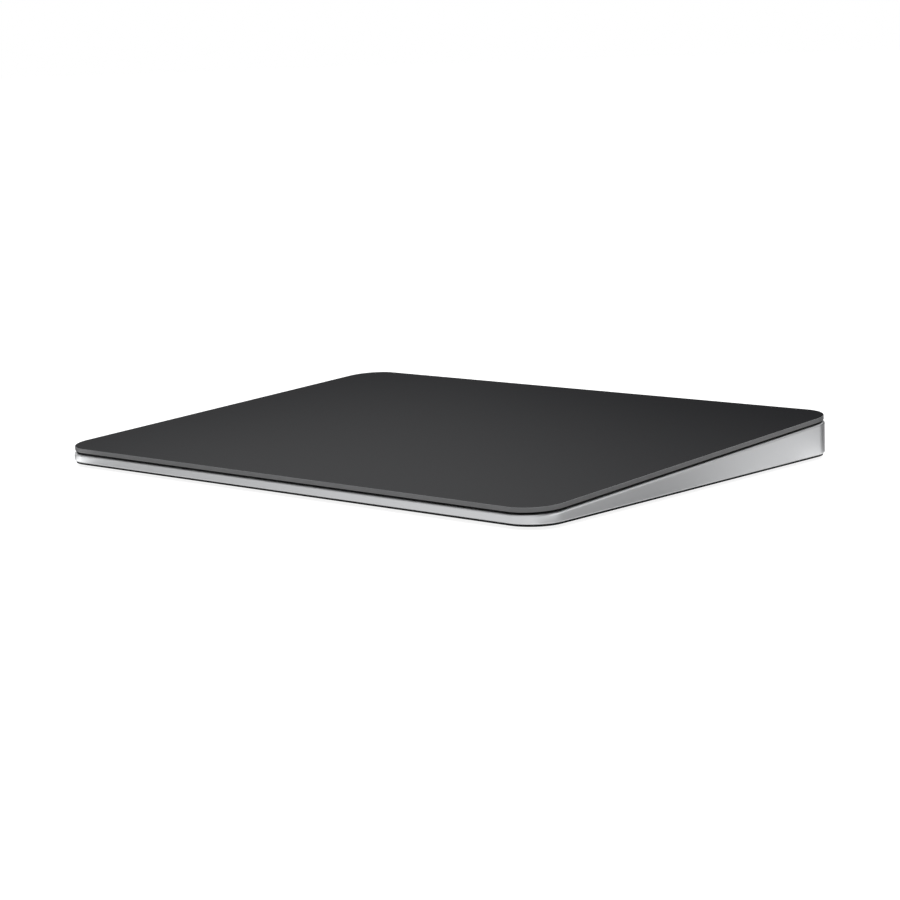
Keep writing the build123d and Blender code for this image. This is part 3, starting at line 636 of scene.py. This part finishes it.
def scatter_tree():
    """Build the tree that sets one piece, tilted, on each point of a mesh."""
    tree, given = new_tree("scatter", Object=("Piece",), Float=("Tilt",), Material=("Finish",))
    one = add_node(tree, "GeometryNodeObjectInfo", {"Object": given["Piece"]})
    copies = copied(tree, given["Geometry"], one.outputs["Geometry"], X=given["Tilt"])
    return end_tree(tree, copies, given["Finish"])


def scatter(name, mesh, places, tilt, body, slot, *nodes):
    """Set copies of a mesh on these places as one piece."""
    one = add_object(name + "_one", mesh)
    grown = grown_mesh(name, scatter_tree(), {"Piece": one, "Tilt": tilt, "Finish": finish(slot)},
                       point_mesh(name + "_places", places))
    bpy.data.objects.remove(one)
    place(sharpened(add_object(name, grown)), body, slot, *nodes)


def row_tree():
    """Build the tree that lays a row of equal blocks along X, centred on each point of a mesh."""
    tree, given = new_tree("row", Int=("Count",), Float=("Pitch", "Tilt"), Vector=("Block",),
                           Material=("Finish",))
    length = calculate(tree, "MULTIPLY", given["Pitch"], calculate(tree, "SUBTRACT", given["Count"], 1.0))
    line = add_node(tree, "GeometryNodeMeshLine", {
        "Count": given["Count"], "Start Location": vector(tree, X=calculate(tree, "MULTIPLY", length, -0.5)),
        "Offset": vector(tree, X=given["Pitch"])})
    row = copied(tree, line, add_node(tree, "GeometryNodeMeshCube", {"Size": given["Block"]}))
    return end_tree(tree, copied(tree, given["Geometry"], row, X=given["Tilt"]), given["Finish"])


def lay_rows(name, places, finish_name, body, slot, count, pitch, block, tilt=0.0):
    """Lay a row of contacts, sized in millimetres, centred on each of these places, as one piece."""
    mesh = grown_mesh(name, row_tree(), {
        "Count": count, "Pitch": pitch * MM, "Block": [side * MM for side in block], "Tilt": tilt,
        "Finish": finish(finish_name)}, point_mesh(name + "_places", places))
    place(sharpened(add_object(name, mesh), SMALL_EDGE), body, slot)


def winding_tree():
    """Build the tree of a coil: one wire wound round X in a rounded rectangle, at each point of a mesh."""
    tree, given = new_tree("winding", Int=("Turns", "Steps"), Material=("Finish",), Float=(
        "Width", "Height", "Corner radius", "Length", "Wire radius", "Tilt"))
    ring = rounded_outline(tree, given["Width"], given["Height"], given["Corner radius"], steps=5)
    # Each point of the wire takes its place on the ring, and moves on by a share of the length
    count = calculate(tree, "MULTIPLY", given["Turns"], given["Steps"])
    line, index = strung(tree, count)
    turn = calculate(tree, "FRACT", calculate(tree, "DIVIDE", index, given["Steps"]))
    spot = add_node(tree, "GeometryNodeSampleCurve", {"Curves": ring, "Factor": turn}, mode="FACTOR")
    spot = add_node(tree, "ShaderNodeSeparateXYZ", {0: spot.outputs["Position"]}).outputs
    share = calculate(tree, "DIVIDE", index, calculate(tree, "SUBTRACT", count, 1.0))
    advance = calculate(tree, "MULTIPLY", given["Length"], calculate(tree, "SUBTRACT", share, 0.5))
    wound = add_node(tree, "GeometryNodeSetPosition", {
        "Geometry": line, "Position": vector(tree, X=advance, Y=spot[0], Z=spot[1])})
    wire = add_node(tree, "GeometryNodeCurvePrimitiveCircle",
                    {"Resolution": 8, "Radius": given["Wire radius"]}, mode="RADIUS")
    tube = add_node(tree, "GeometryNodeCurveToMesh",
                    {"Curve": wound, "Profile Curve": wire, "Fill Caps": True})
    smooth = add_node(tree, "GeometryNodeSetShadeSmooth", {"Geometry": tube})
    return end_tree(tree, copied(tree, given["Geometry"], smooth, X=given["Tilt"]), given["Finish"])


PART_SPOTS = 4e6  # on each square metre at most, of which their spacing leaves few


def parts_tree():
    """Build the tree that strews small two-ended board parts over a mesh's faces, set square."""
    tree, given = new_tree("parts", Float=("Spacing", "End share"), Vector=("Part",), Int=("Seed",),
                           Material=("Body finish", "End finish"))
    spots = add_node(tree, "GeometryNodeDistributePointsOnFaces", {
        "Mesh": given["Geometry"], "Distance Min": given["Spacing"], "Density Max": PART_SPOTS,
        "Seed": given["Seed"]}, distribute_method="POISSON")
    size = add_node(tree, "ShaderNodeSeparateXYZ", {0: given["Part"]}).outputs
    end = calculate(tree, "MULTIPLY", size[0], given["End share"])
    # The two ends are a little larger than the body between them
    body = add_node(tree, "ShaderNodeVectorMath", {0: given["Part"], 1: (0.96, 0.92, 0.92)},
                    operation="MULTIPLY")
    body = add_node(tree, "GeometryNodeMeshCube", {"Size": body})
    block = add_node(tree, "GeometryNodeMeshCube", {"Size": vector(tree, X=end, Y=size[1], Z=size[2])})
    joined = add_node(tree, "GeometryNodeJoinGeometry")
    for side in (-1.0, 1.0):
        away = calculate(tree, "MULTIPLY", calculate(tree, "SUBTRACT", size[0], end), side / 2)
        marked = add_node(tree, "GeometryNodeStoreNamedAttribute", {
            "Geometry": moved(tree, block, X=away), "Name": "end", "Value": True},
            data_type="BOOLEAN", domain="FACE")
        connect(tree, marked, joined.inputs[0])
    connect(tree, body, joined.inputs[0])
    standing = moved(tree, joined, Z=calculate(tree, "MULTIPLY", size[2], 0.5))
    quarter = enabled(add_node(tree, "FunctionNodeRandomValue", {"Min": 0, "Max": 1, "Seed": given["Seed"]},
                               data_type="INT"))
    strewn = copied(tree, spots, standing, Z=calculate(tree, "MULTIPLY", quarter, pi / 2))
    ends = enabled(add_node(tree, "GeometryNodeInputNamedAttribute", {"Name": "end"}, data_type="BOOLEAN"))
    return end_tree(tree, strewn, given["Body finish"], ends, given["End finish"])


def strew_parts(name, zones, height, slot):
    """Strew small parts over flat zones of a board, given by their corners in millimetres, as one piece."""
    corners = []
    for low_x, low_y, high_x, high_y in zones:
        corners += rectangle((low_x * MM, low_y * MM, height), (high_x * MM, high_y * MM, height))
    area = bpy.data.meshes.new(name + "_zones")
    area.from_pydata(corners, [], [range(4 * zone, 4 * zone + 4) for zone in range(len(zones))])
    mesh = grown_mesh(name, parts_tree(), {
        "Spacing": 1.35 * MM, "Part": (1.0 * MM, 0.5 * MM, 0.4 * MM), "End share": 0.22, "Seed": 7,
        "Body finish": finish("ceramic"), "End finish": finish("terminal_tin")}, area)
    place(sharpened(add_object(name, mesh), SMALL_EDGE), "housing", slot)


class TRACKPAD_OT_touch_glass(bpy.types.Operator):
    """Make the satin glass plate with its ground edges"""

    bl_idname = "trackpad.touch_glass"
    bl_label = "Touch glass"

    def execute(self, context):
        sizes = context.scene.trackpad_plate
        overhang = sizes.thickness * tan(slope)
        depth = housing_high.y - housing_low.y
        mesh = grown_mesh("glass_plate", plate_tree(), {
            "Width": sizes.width, "Length": depth / cos(slope) - overhang,
            "Corner radius": sizes.corner_radius, "Thickness": sizes.thickness,
            "Edge round": sizes.edge_round, "Corner steps": 24, "Edge steps": 5,
            "Face finish": finish("satin_dark_glass"), "Edge finish": finish("ground_glass")})
        mesh.transform(on_slope(0, -overhang * cos(slope) / 2, -sizes.thickness / 2))
        mesh.shade_smooth()
        plate = add_object("glass_plate", mesh)
        plate.modifiers.new("normals", "WEIGHTED_NORMAL")
        place(plate, "touch_plate", "satin_dark_glass", "touch_glass")
        return {"FINISHED"}


class TRACKPAD_OT_housing(bpy.types.Operator):
    """Make the blasted housing with fine rounded edges"""

    bl_idname = "trackpad.housing"
    bl_label = "Housing"

    def execute(self, context):
        refine({("housing_tray", "housing"): 0.06})
        return {"FINISHED"}


class TRACKPAD_OT_base(bpy.types.Operator):
    """Make the dark base sheet, the four feet and the foam seal"""

    bl_idname = "trackpad.base"
    bl_label = "Base sheet, feet and seal"

    def execute(self, context):
        refine({("base_cover", "base_sheet"): 0.05, ("foam_seal", "dust_seal"): 0.15})
        feet = sorted(name for name in frame["nodes"] if name.startswith("foot_"))
        boxes = [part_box(name) for name in feet]
        radius = (boxes[0][1].x - boxes[0][0].x) / 2
        height = boxes[0][1].z
        profile = [(0, 0, 0), *rounded_rim(radius, 0.3 * MM, 0, -1, 5), (radius, height, 0), (0, height, 0)]
        places = [(*((low + high) / 2).xy, 0) for low, high in boxes]
        scatter("feet", lathed("foot", profile, 64), places, 0.0, "housing", "foot_rubber", *feet)
        return {"FINISHED"}


SCREWS = {
    # Piece and CAD node: whether on the slope, then head height and shank radius in millimetres
    ("arm_screws", "flexure_screws"): (True, 0.3, 0.7),
    ("bracket_screws", "haptic_screws"): (True, 0.4, 0.55),
    ("main_board_screws", "board_screws"): (False, 0.45, 0.55),
    ("saddle_screws", "inlet_screws"): (False, 0.45, 0.55),
}
LOBE = 0.12  # how far a screw's socket swells and shrinks, as a share of its radius
THREAD_PITCH = 0.25 * MM
THREAD_ROOT, TIP = 0.84, 0.6  # radii of the thread's grooves and of the tip, as shares of the shank's


def add_screws(piece, node):
    """Make the screws of a CAD node: a lobed socket, a rounded head and a threaded shank."""
    sloped, head, shank = SCREWS[piece, node]
    tilt = slope if sloped else 0.0
    boxes = solids(node, tilt)
    low, high = boxes[0]
    head, shank = head * MM, shank * MM
    radius, length = (high.x - low.x) / 2, high.z - low.z - head
    socket, floor, bend = 0.45 * radius, 0.4 * head, 0.25 * head
    profile = [(0, floor, 0), (0.8 * socket, floor, LOBE), (socket, floor + 0.1 * head, LOBE),
               (socket, 0.96 * head, LOBE), (1.06 * socket, head, 0.1)]
    profile += rounded_rim(radius, bend, head, 1, 4)
    profile += [(radius, 0, 0), (shank, 0, 0)]
    turns = int(length / THREAD_PITCH)
    for turn in range(turns):
        at = -length * (turn + 0.5) / (turns + 1)
        profile += [(shank, at, 0), (THREAD_ROOT * shank, at - 0.5 * length / (turns + 1), 0)]
    profile += [(TIP * shank, -length, 0), (0, -length, 0)]
    seat = Matrix.Rotation(tilt, 3, "X")
    places = [seat @ Vector((*((low + high) / 2).xy, high.z - head)) for low, high in boxes]
    scatter(piece, lathed(piece + "_one", profile, 36), places, tilt, "housing", "screw_steel", node)


class TRACKPAD_OT_touch_plate(bpy.types.Operator):
    """Make what lies under the glass: sensor board, stiffener, chips, connector and attraction bar"""

    bl_idname = "trackpad.touch_plate"
    bl_label = "Touch plate"

    def execute(self, context):
        refine({("sensor_board", "touch_sensor_board"): 0.04, ("stiffener", "stiffener_plate"): 0.05,
                ("controller_chips", "touch_controller_chips"): 0.06,
                ("plate_connector", "sensor_connector"): 0.06, ("steel_bar", "attraction_bar"): 0.15},
               "touch_plate")
        chips = solids("touch_controller_chips", slope)
        seat = Matrix.Rotation(slope, 3, "X")
        # From a chip's or the connector's side and top to the middle of a lead or pin
        out, lead_drop, pin_drop = 0.15 * MM, 0.06 * MM, 0.08 * MM
        edges = [seat @ Vector(((low.x + high.x) / 2, y, high.z - lead_drop))
                 for low, high in chips for y in (low.y - out, high.y + out)]
        lay_rows("chip_leads", edges, "terminal_tin", "touch_plate", "screw_steel", count=12, pitch=0.45,
                 block=(0.22, 0.4, 0.08), tilt=slope)
        low, high = solids("sensor_connector", slope)[0]
        front = seat @ Vector(((low.x + high.x) / 2, low.y - out, high.z - pin_drop))
        lay_rows("plate_connector_pins", [front], "contact_gold", "touch_plate", "copper", count=18,
                 pitch=0.5, block=(0.2, 0.5, 0.1), tilt=slope)
        return {"FINISHED"}


class TRACKPAD_OT_suspension(bpy.types.Operator):
    """Make the flexure arms with their gauges, screws and soft gel pads"""

    bl_idname = "trackpad.suspension"
    bl_label = "Suspension"

    def execute(self, context):
        for corner in ("front_left", "front_right", "rear_left", "rear_right"):
            arm, pad = "flexure_arm_" + corner, "gel_pad_" + corner
            refine({("spring_arm_" + corner, arm): 0.06})
            refine({("soft_pad_" + corner, pad): 0.12})
            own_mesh(bpy.data.objects["soft_pad_" + corner])
        refine({("gauge_films", "strain_gauges"): 0.02})
        add_screws("arm_screws", "flexure_screws")
        return {"FINISHED"}


class TRACKPAD_OT_actuator(bpy.types.Operator):
    """Make the haptic actuator: bracket, cores, wound coils, screws and flat cable"""

    bl_idname = "trackpad.actuator"
    bl_label = "Actuator"

    def execute(self, context):
        refine({("actuator_bracket", "haptic_bracket"): 0.05, ("core_left", "haptic_core_left"): 0.1,
                ("core_right", "haptic_core_right"): 0.1, ("actuator_cable", "haptic_cable"): 0.03})
        for side in ("left", "right"):
            node = "haptic_coils_" + side
            boxes = solids(node, slope)
            size = boxes[0][1] - boxes[0][0]
            wire = 0.25 * MM
            seat = Matrix.Rotation(slope, 3, "X")
            mesh = grown_mesh("winding_" + side, winding_tree(), {
                "Width": size.y - 2 * wire, "Height": size.z - 2 * wire, "Corner radius": 0.35 * MM,
                "Length": size.x - 2 * wire, "Wire radius": wire, "Tilt": slope, "Turns": 15, "Steps": 48,
                "Finish": finish("copper")},
                point_mesh("winding_places", [seat @ ((low + high) / 2) for low, high in boxes]))
            place(add_object("winding_" + side, mesh), "housing", "copper", node)
        add_screws("bracket_screws", "haptic_screws")
        return {"FINISHED"}


class TRACKPAD_OT_batteries(bpy.types.Operator):
    """Make the two battery pouches with their protection boards and leads"""

    bl_idname = "trackpad.batteries"
    bl_label = "Batteries"

    def execute(self, context):
        for side in ("left", "right"):
            refine({("pouch_" + side, "battery_" + side): 0.35,
                    ("guard_" + side, "battery_guard_" + side): 0.04,
                    ("lead_" + side, "battery_lead_" + side): 0.05})
            low, high = (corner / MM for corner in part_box("battery_guard_" + side))
            lead_low, lead_high = (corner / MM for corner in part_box("battery_lead_" + side))
            ends, sides = 0.8, 0.6  # bare strips round the two zones
            zones = [(low.x + ends, low.y + sides, lead_low.x - ends, high.y - sides),
                     (lead_high.x + ends, low.y + sides, high.x - ends, high.y - sides)]
            strew_parts("guard_parts_" + side, zones, high.z * MM, "chip_resin")
        return {"FINISHED"}


class TRACKPAD_OT_main_board(bpy.types.Operator):
    """Make the main board with its cans, chips, connectors, small parts, screws and sensor cable"""

    bl_idname = "trackpad.main_board"
    bl_label = "Main board"

    def execute(self, context):
        refine({("logic_board", "main_board"): 0.05, ("chips", "board_chips"): 0.06,
                ("connectors", "board_connectors"): 0.06, ("can_left", "shield_can_left"): 0.09,
                ("can_right", "shield_can_right"): 0.09, ("plate_cable", "sensor_cable"): 0.03})
        low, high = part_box("sensor_cable")
        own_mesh(bpy.data.objects["plate_cable"])
        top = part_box("main_board")[1].z
        left_zone, right_zone = (-46.4, 50.1, -35.8, 54.2), (31.2, 50.1, 43.4, 54.2)
        strew_parts("board_parts", [left_zone, right_zone], top, "chip_resin")
        pitch, bare = 0.5, 1.4  # of a connector's pins, and its length without pins, in millimetres
        out, up = 0.12 * MM, 0.06 * MM  # from a connector's side and the board to the middle of a pin
        for number, (low, high) in enumerate(solids("board_connectors")):
            breadth = (high.x - low.x) / MM
            spot = Vector(((low.x + high.x) / 2, high.y + out, top + up))
            lay_rows("connector_pins_%d" % number, [spot], "contact_gold", "housing", "copper",
                     count=int((breadth - bare) / pitch), pitch=pitch, block=(0.2, 0.45, 0.1))
        add_screws("main_board_screws", "board_screws")
        return {"FINISHED"}


class TRACKPAD_OT_inlet(bpy.types.Operator):
    """Make the charging inlet: shell, tongue with its contacts, saddle and screws"""

    bl_idname = "trackpad.inlet"
    bl_label = "Charging inlet"

    def execute(self, context):
        refine({("shell", "inlet_shell"): 0.11, ("tongue", "inlet_tongue"): 0.08,
                ("saddle", "inlet_saddle"): 0.06})
        low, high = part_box("inlet_tongue")
        middle = (low.z + high.z) / 2
        back, off = 1.7 * MM, 0.35 * MM  # from the tongue's end and its middle height to its contacts
        faces = [(0, high.y - back, middle + side * off) for side in (-1, 1)]
        lay_rows("inlet_contacts", faces, "contact_gold", "housing", "copper", count=12, pitch=0.5,
                 block=(0.25, 2.6, 0.05))
        add_screws("saddle_screws", "inlet_screws")
        return {"FINISHED"}


class TRACKPAD_OT_switch(bpy.types.Operator):
    """Make the power switch: body, marker film and grooved knob"""

    bl_idname = "trackpad.switch"
    bl_label = "Power switch"

    def execute(self, context):
        refine({("switch_case", "switch_body"): 0.08, ("on_marker", "switch_marker"): 0.02})
        refine({("slide_knob", "switch_knob"): 0.05}, "power_switch")
        return {"FINISHED"}


class TRACKPAD_OT_antenna(bpy.types.Operator):
    """Make the antenna's carrier and foil"""

    bl_idname = "trackpad.antenna"
    bl_label = "Antenna"

    def execute(self, context):
        refine({("antenna_stand", "antenna_carrier"): 0.12, ("antenna_trace", "antenna_foil"): 0.03})
        return {"FINISHED"}


# Stage, in metres

FLOOR_REACH = 40.0
FLOOR_INSET = 6.5 * MM  # from the housing's sides to the opening, which clears the feet
FLOOR_DROP = 0.05 * MM  # under the feet
FLOOR_GREY = (0.35, 0.35, 0.35, 1)
LAMP_HEIGHT = 1.2
LAMP_SIDE = 1.6


def add_camera(settings):
    """Stand the camera where the photograph was taken from."""
    azimuth, elevation, roll = settings.azimuth, settings.elevation, settings.roll
    back = Vector((sin(azimuth) * cos(elevation), -cos(azimuth) * cos(elevation), sin(elevation)))
    right = Vector((cos(azimuth), sin(azimuth), 0))
    up = back.cross(right)
    turned_right = cos(roll) * right + sin(roll) * up
    turned_up = cos(roll) * up - sin(roll) * right
    data = bpy.data.cameras.new("camera")
    data.sensor_width = 36
    data.lens = settings.lens
    data.clip_start = 0.01
    data.clip_end = 100
    camera = add_object("camera", data)
    turn = Matrix((turned_right, turned_up, back)).transposed().to_4x4()
    camera.matrix_world = Matrix.Translation(Vector(settings.target) + back * settings.distance) @ turn
    bpy.context.scene.camera = camera


def seen_directly(tree):
    """Return a value that is one for rays from the camera, a mirror or through glass."""
    rays = add_node(tree, "ShaderNodeLightPath").outputs
    shiny = calculate(tree, "MAXIMUM", rays["Is Glossy Ray"], rays["Is Transmission Ray"])
    return calculate(tree, "MAXIMUM", rays["Is Camera Ray"], shiny)


def add_world(settings):
    """Make the surroundings white to the eye and plain soft light for the object."""
    world = bpy.data.worlds.new("surroundings")
    world.use_nodes = True
    tree = world.node_tree
    background = tree.nodes["Background"]
    background.inputs["Color"].default_value = (1, 1, 1, 1)
    strength = add_node(tree, "ShaderNodeMapRange",
                        {"Value": seen_directly(tree), "To Min": settings.fill, "To Max": 1.0})
    connect(tree, strength, background.inputs["Strength"])
    bpy.context.scene.world = world


def bare_material(mesh, name):
    """Give a mesh a material without its shader, and return the tree."""
    material = bpy.data.materials.new(name)
    material.use_nodes = True
    mesh.materials.append(material)
    material.node_tree.nodes.remove(material.node_tree.nodes["Principled BSDF"])
    return material.node_tree


def add_floor(settings):
    """Lay a white floor that keeps the object's shadow, open under the object to light its underside."""
    mesh = bpy.data.meshes.new("floor")
    reaches = ((FLOOR_REACH, FLOOR_REACH), (housing_high.x - FLOOR_INSET, housing_high.y - FLOOR_INSET))
    corners = [corner for x, y in reaches
               for corner in rectangle((-x, -y, -FLOOR_DROP), (x, y, -FLOOR_DROP))]
    mesh.from_pydata(corners, [], [(corner, (corner + 1) % 4, 4 + (corner + 1) % 4, 4 + corner)
                                   for corner in range(4)])
    tree = bare_material(mesh, "floor_white")
    matt = add_node(tree, "ShaderNodeBsdfDiffuse", {"Color": FLOOR_GREY})
    glow = calculate(tree, "MULTIPLY", seen_directly(tree), settings.floor_glow)
    glow = add_node(tree, "ShaderNodeEmission", {"Strength": glow})
    both = add_node(tree, "ShaderNodeAddShader", {0: matt, 1: glow})
    # From below it lets the underside show
    clear = add_node(tree, "ShaderNodeBsdfTransparent")
    below = add_node(tree, "ShaderNodeNewGeometry").outputs["Backfacing"]
    shown = add_node(tree, "ShaderNodeMixShader", {0: below, 1: both, 2: clear})
    connect(tree, shown, tree.nodes["Material Output"].inputs["Surface"])
    add_object("floor", mesh)


def add_lamp(settings):
    """Hang one soft lamp over the object."""
    data = bpy.data.lights.new("overhead", "AREA")
    data.size = LAMP_SIDE
    data.energy = settings.lamp_power
    lamp = add_object("overhead", data)
    lamp.location = (0, 0, LAMP_HEIGHT)
    lamp.visible_glossy = False


def add_card(name, corners, *gradients):
    """Lay a glowing card that only mirrors see, a painted reflection; its glow adds up gradients, each a
    direction and stops along it.
    """
    mesh = bpy.data.meshes.new(name)
    mesh.from_pydata(corners, [], [range(len(corners))])
    tree = bare_material(mesh, name)
    where = add_node(tree, "ShaderNodeTexCoord").outputs["Object"]
    # grey is the card's glow strength: painted light that shows only in reflections
    grey = sum(stops[0][1] for direction, stops in gradients)
    for direction, stops in gradients:
        spot = along(tree, where, direction)
        for (start, before), (end, after) in zip(stops, stops[1:]):
            step = add_node(tree, "ShaderNodeMapRange", {
                "Value": spot, "From Min": start, "From Max": end, "To Min": 0.0, "To Max": after - before},
                interpolation_type="SMOOTHSTEP")
            grey = calculate(tree, "ADD", grey, step.outputs[0])
    glow = add_node(tree, "ShaderNodeEmission", {"Strength": calculate(tree, "MAXIMUM", grey, 0.0)})
    connect(tree, glow, tree.nodes["Material Output"].inputs["Surface"])
    card = add_object(name, mesh)
    for ray in ("camera", "diffuse", "shadow", "transmission", "volume_scatter"):
        setattr(card, "visible_" + ray, False)


# What the object mirrors: glowing cards that only mirrors see, which paint its reflections, painted
# highlights and painted shade among them. A gradient is a direction, and stops that give the glow at a
# distance along it.
FLOOR_CARD_HEIGHT = 0.5 * MM  # height of the level cards, just over the floor
# Each spot of the right wall mirrors the spots that lie 4 back for each 3 to the right, and at its rear end
# 3 back for each 2. Its glow paints a highlight by the front corner, a darker stretch that brightens towards
# the rear, and at the rear corner a highlight and then a dark band.
RIGHT_WALL = (
    ((-4 / 3, 1, 0), ((-0.180, 1.55), (-0.168, 0.36), (-0.131, 0.36), (-0.068, 1.02))),
    ((-3 / 2, 1, 0), ((-0.083, 0.0), (-0.076, 0.36), (-0.069, 0.36), (-0.062, -0.95))))
# The front wall mirrors the spots that lie as far to the left as in front; its glow paints a dark band at
# the left corner, a narrow highlight at the wall's left end, and a brightening to the right
FRONT_WALL = ((1, -1.04, 0), ((-0.1, 1.0), (-0.075, 0.1), (-0.029, 0.1), (-0.021, 2.4), (-0.015, 2.4),
                              (-0.008, 0.68), (0.13, 1.0)))
# What the glass mirrors is a painted reflection: bright above, and darker to the right and at the far left
GLASS = (((0, 0, 1), ((0.068, 0.0), (0.106, 0.82), (0.145, 1.45))),
         ((1, 0, 0), ((-0.3, 0.0), (-0.07, -0.28))),
         ((1, 0, 3.5), ((-0.09, -1.3), (0.005, 0.0))))
# The rounded rim mirrors faintly glowing dark cards above the horizon, painted shade on the rim
RIM = ((0, 0, 1), ((0, 0.08),))
CARDS = {
    "side_card": (rectangle((0.25, -0.06, 0), (0.25, 0.35, 0.15)), *RIGHT_WALL),
    "side_cloth": (rectangle((0.0801, -0.06, FLOOR_CARD_HEIGHT), (0.25, 0.35, FLOOR_CARD_HEIGHT)), *RIGHT_WALL),
    "rear_cloth": (rectangle((-0.02, 0.0576, FLOOR_CARD_HEIGHT), (0.0801, 0.35, FLOOR_CARD_HEIGHT)),
                   ((1, 0, 0), ((0.0, 0.95), (0.075, 0.5)))),
    "front_card": (rectangle((-0.35, -0.25, 0), (0.12, -0.25, 0.15)), FRONT_WALL),
    "front_cloth": ([(-0.35, -0.25, FLOOR_CARD_HEIGHT), (0.12, -0.25, FLOOR_CARD_HEIGHT), (0.09, -0.0576, FLOOR_CARD_HEIGHT),
                     (-0.35, -0.0576, FLOOR_CARD_HEIGHT)], FRONT_WALL),
    "left_cloth": (rectangle((-0.35, -0.0576, FLOOR_CARD_HEIGHT), (-0.0801, 0.05, FLOOR_CARD_HEIGHT)), FRONT_WALL),
    "rear_card": (rectangle((-0.6, 0.3, 0), (0.25, 0.3, 0.3)), *GLASS),
    "right_rim_card": (rectangle((-0.2, 0.5, 0.2), (0.55, 0.5, 1.4)), RIM),
    "corner_rim_card": (rectangle((0.55, -0.35, 0.17), (0.55, 0.5, 1.4)), RIM),
    "left_rim_card": (rectangle((-0.5, -0.5, 0.2), (-0.5, 0.15, 1.4)), RIM),
}


class TRACKPAD_OT_stage(bpy.types.Operator):
    """Set the camera, the surroundings, the floor, the lamp and the cards"""

    bl_idname = "trackpad.stage"
    bl_label = "Stage"

    def execute(self, context):
        context.scene.view_settings.view_transform = "Standard"
        for add in (add_camera, add_world, add_floor, add_lamp):
            add(context.scene.trackpad_stage)
        for name, (corners, *gradients) in CARDS.items():
            add_card(name, corners, *gradients)
        return {"FINISHED"}


STEPS = ("stage", "touch_glass", "housing", "base", "touch_plate", "suspension", "actuator", "batteries",
         "main_board", "inlet", "switch", "antenna")


class TRACKPAD_PT_pieces(bpy.types.Panel):
    """List the pieces in the 3D view's sidebar"""

    bl_label = "Trackpad"
    bl_space_type = "VIEW_3D"
    bl_region_type = "UI"
    bl_category = "Trackpad"

    def draw(self, context):
        for step in STEPS:
            self.layout.operator("trackpad." + step)


classes = (
    PlateSizes, FinishColours, StageSizes, TRACKPAD_OT_stage, TRACKPAD_OT_touch_glass, TRACKPAD_OT_housing,
    TRACKPAD_OT_base, TRACKPAD_OT_touch_plate, TRACKPAD_OT_suspension, TRACKPAD_OT_actuator,
    TRACKPAD_OT_batteries, TRACKPAD_OT_main_board, TRACKPAD_OT_inlet, TRACKPAD_OT_switch,
    TRACKPAD_OT_antenna, TRACKPAD_PT_pieces)


def register():
    """Register the add-on's classes and settings."""
    for item in classes:
        bpy.utils.register_class(item)
    bpy.types.Scene.trackpad_plate = PointerProperty(type=PlateSizes)
    bpy.types.Scene.trackpad_finish = PointerProperty(type=FinishColours)
    bpy.types.Scene.trackpad_stage = PointerProperty(type=StageSizes)


def unregister():
    """Remove the add-on's classes and settings."""
    del bpy.types.Scene.trackpad_stage
    del bpy.types.Scene.trackpad_finish
    del bpy.types.Scene.trackpad_plate
    for item in reversed(classes):
        bpy.utils.unregister_class(item)


def main():
    """Make every piece."""
    register()
    for step in STEPS:
        getattr(bpy.ops.trackpad, step)()


if __name__ == "__main__":
    main()
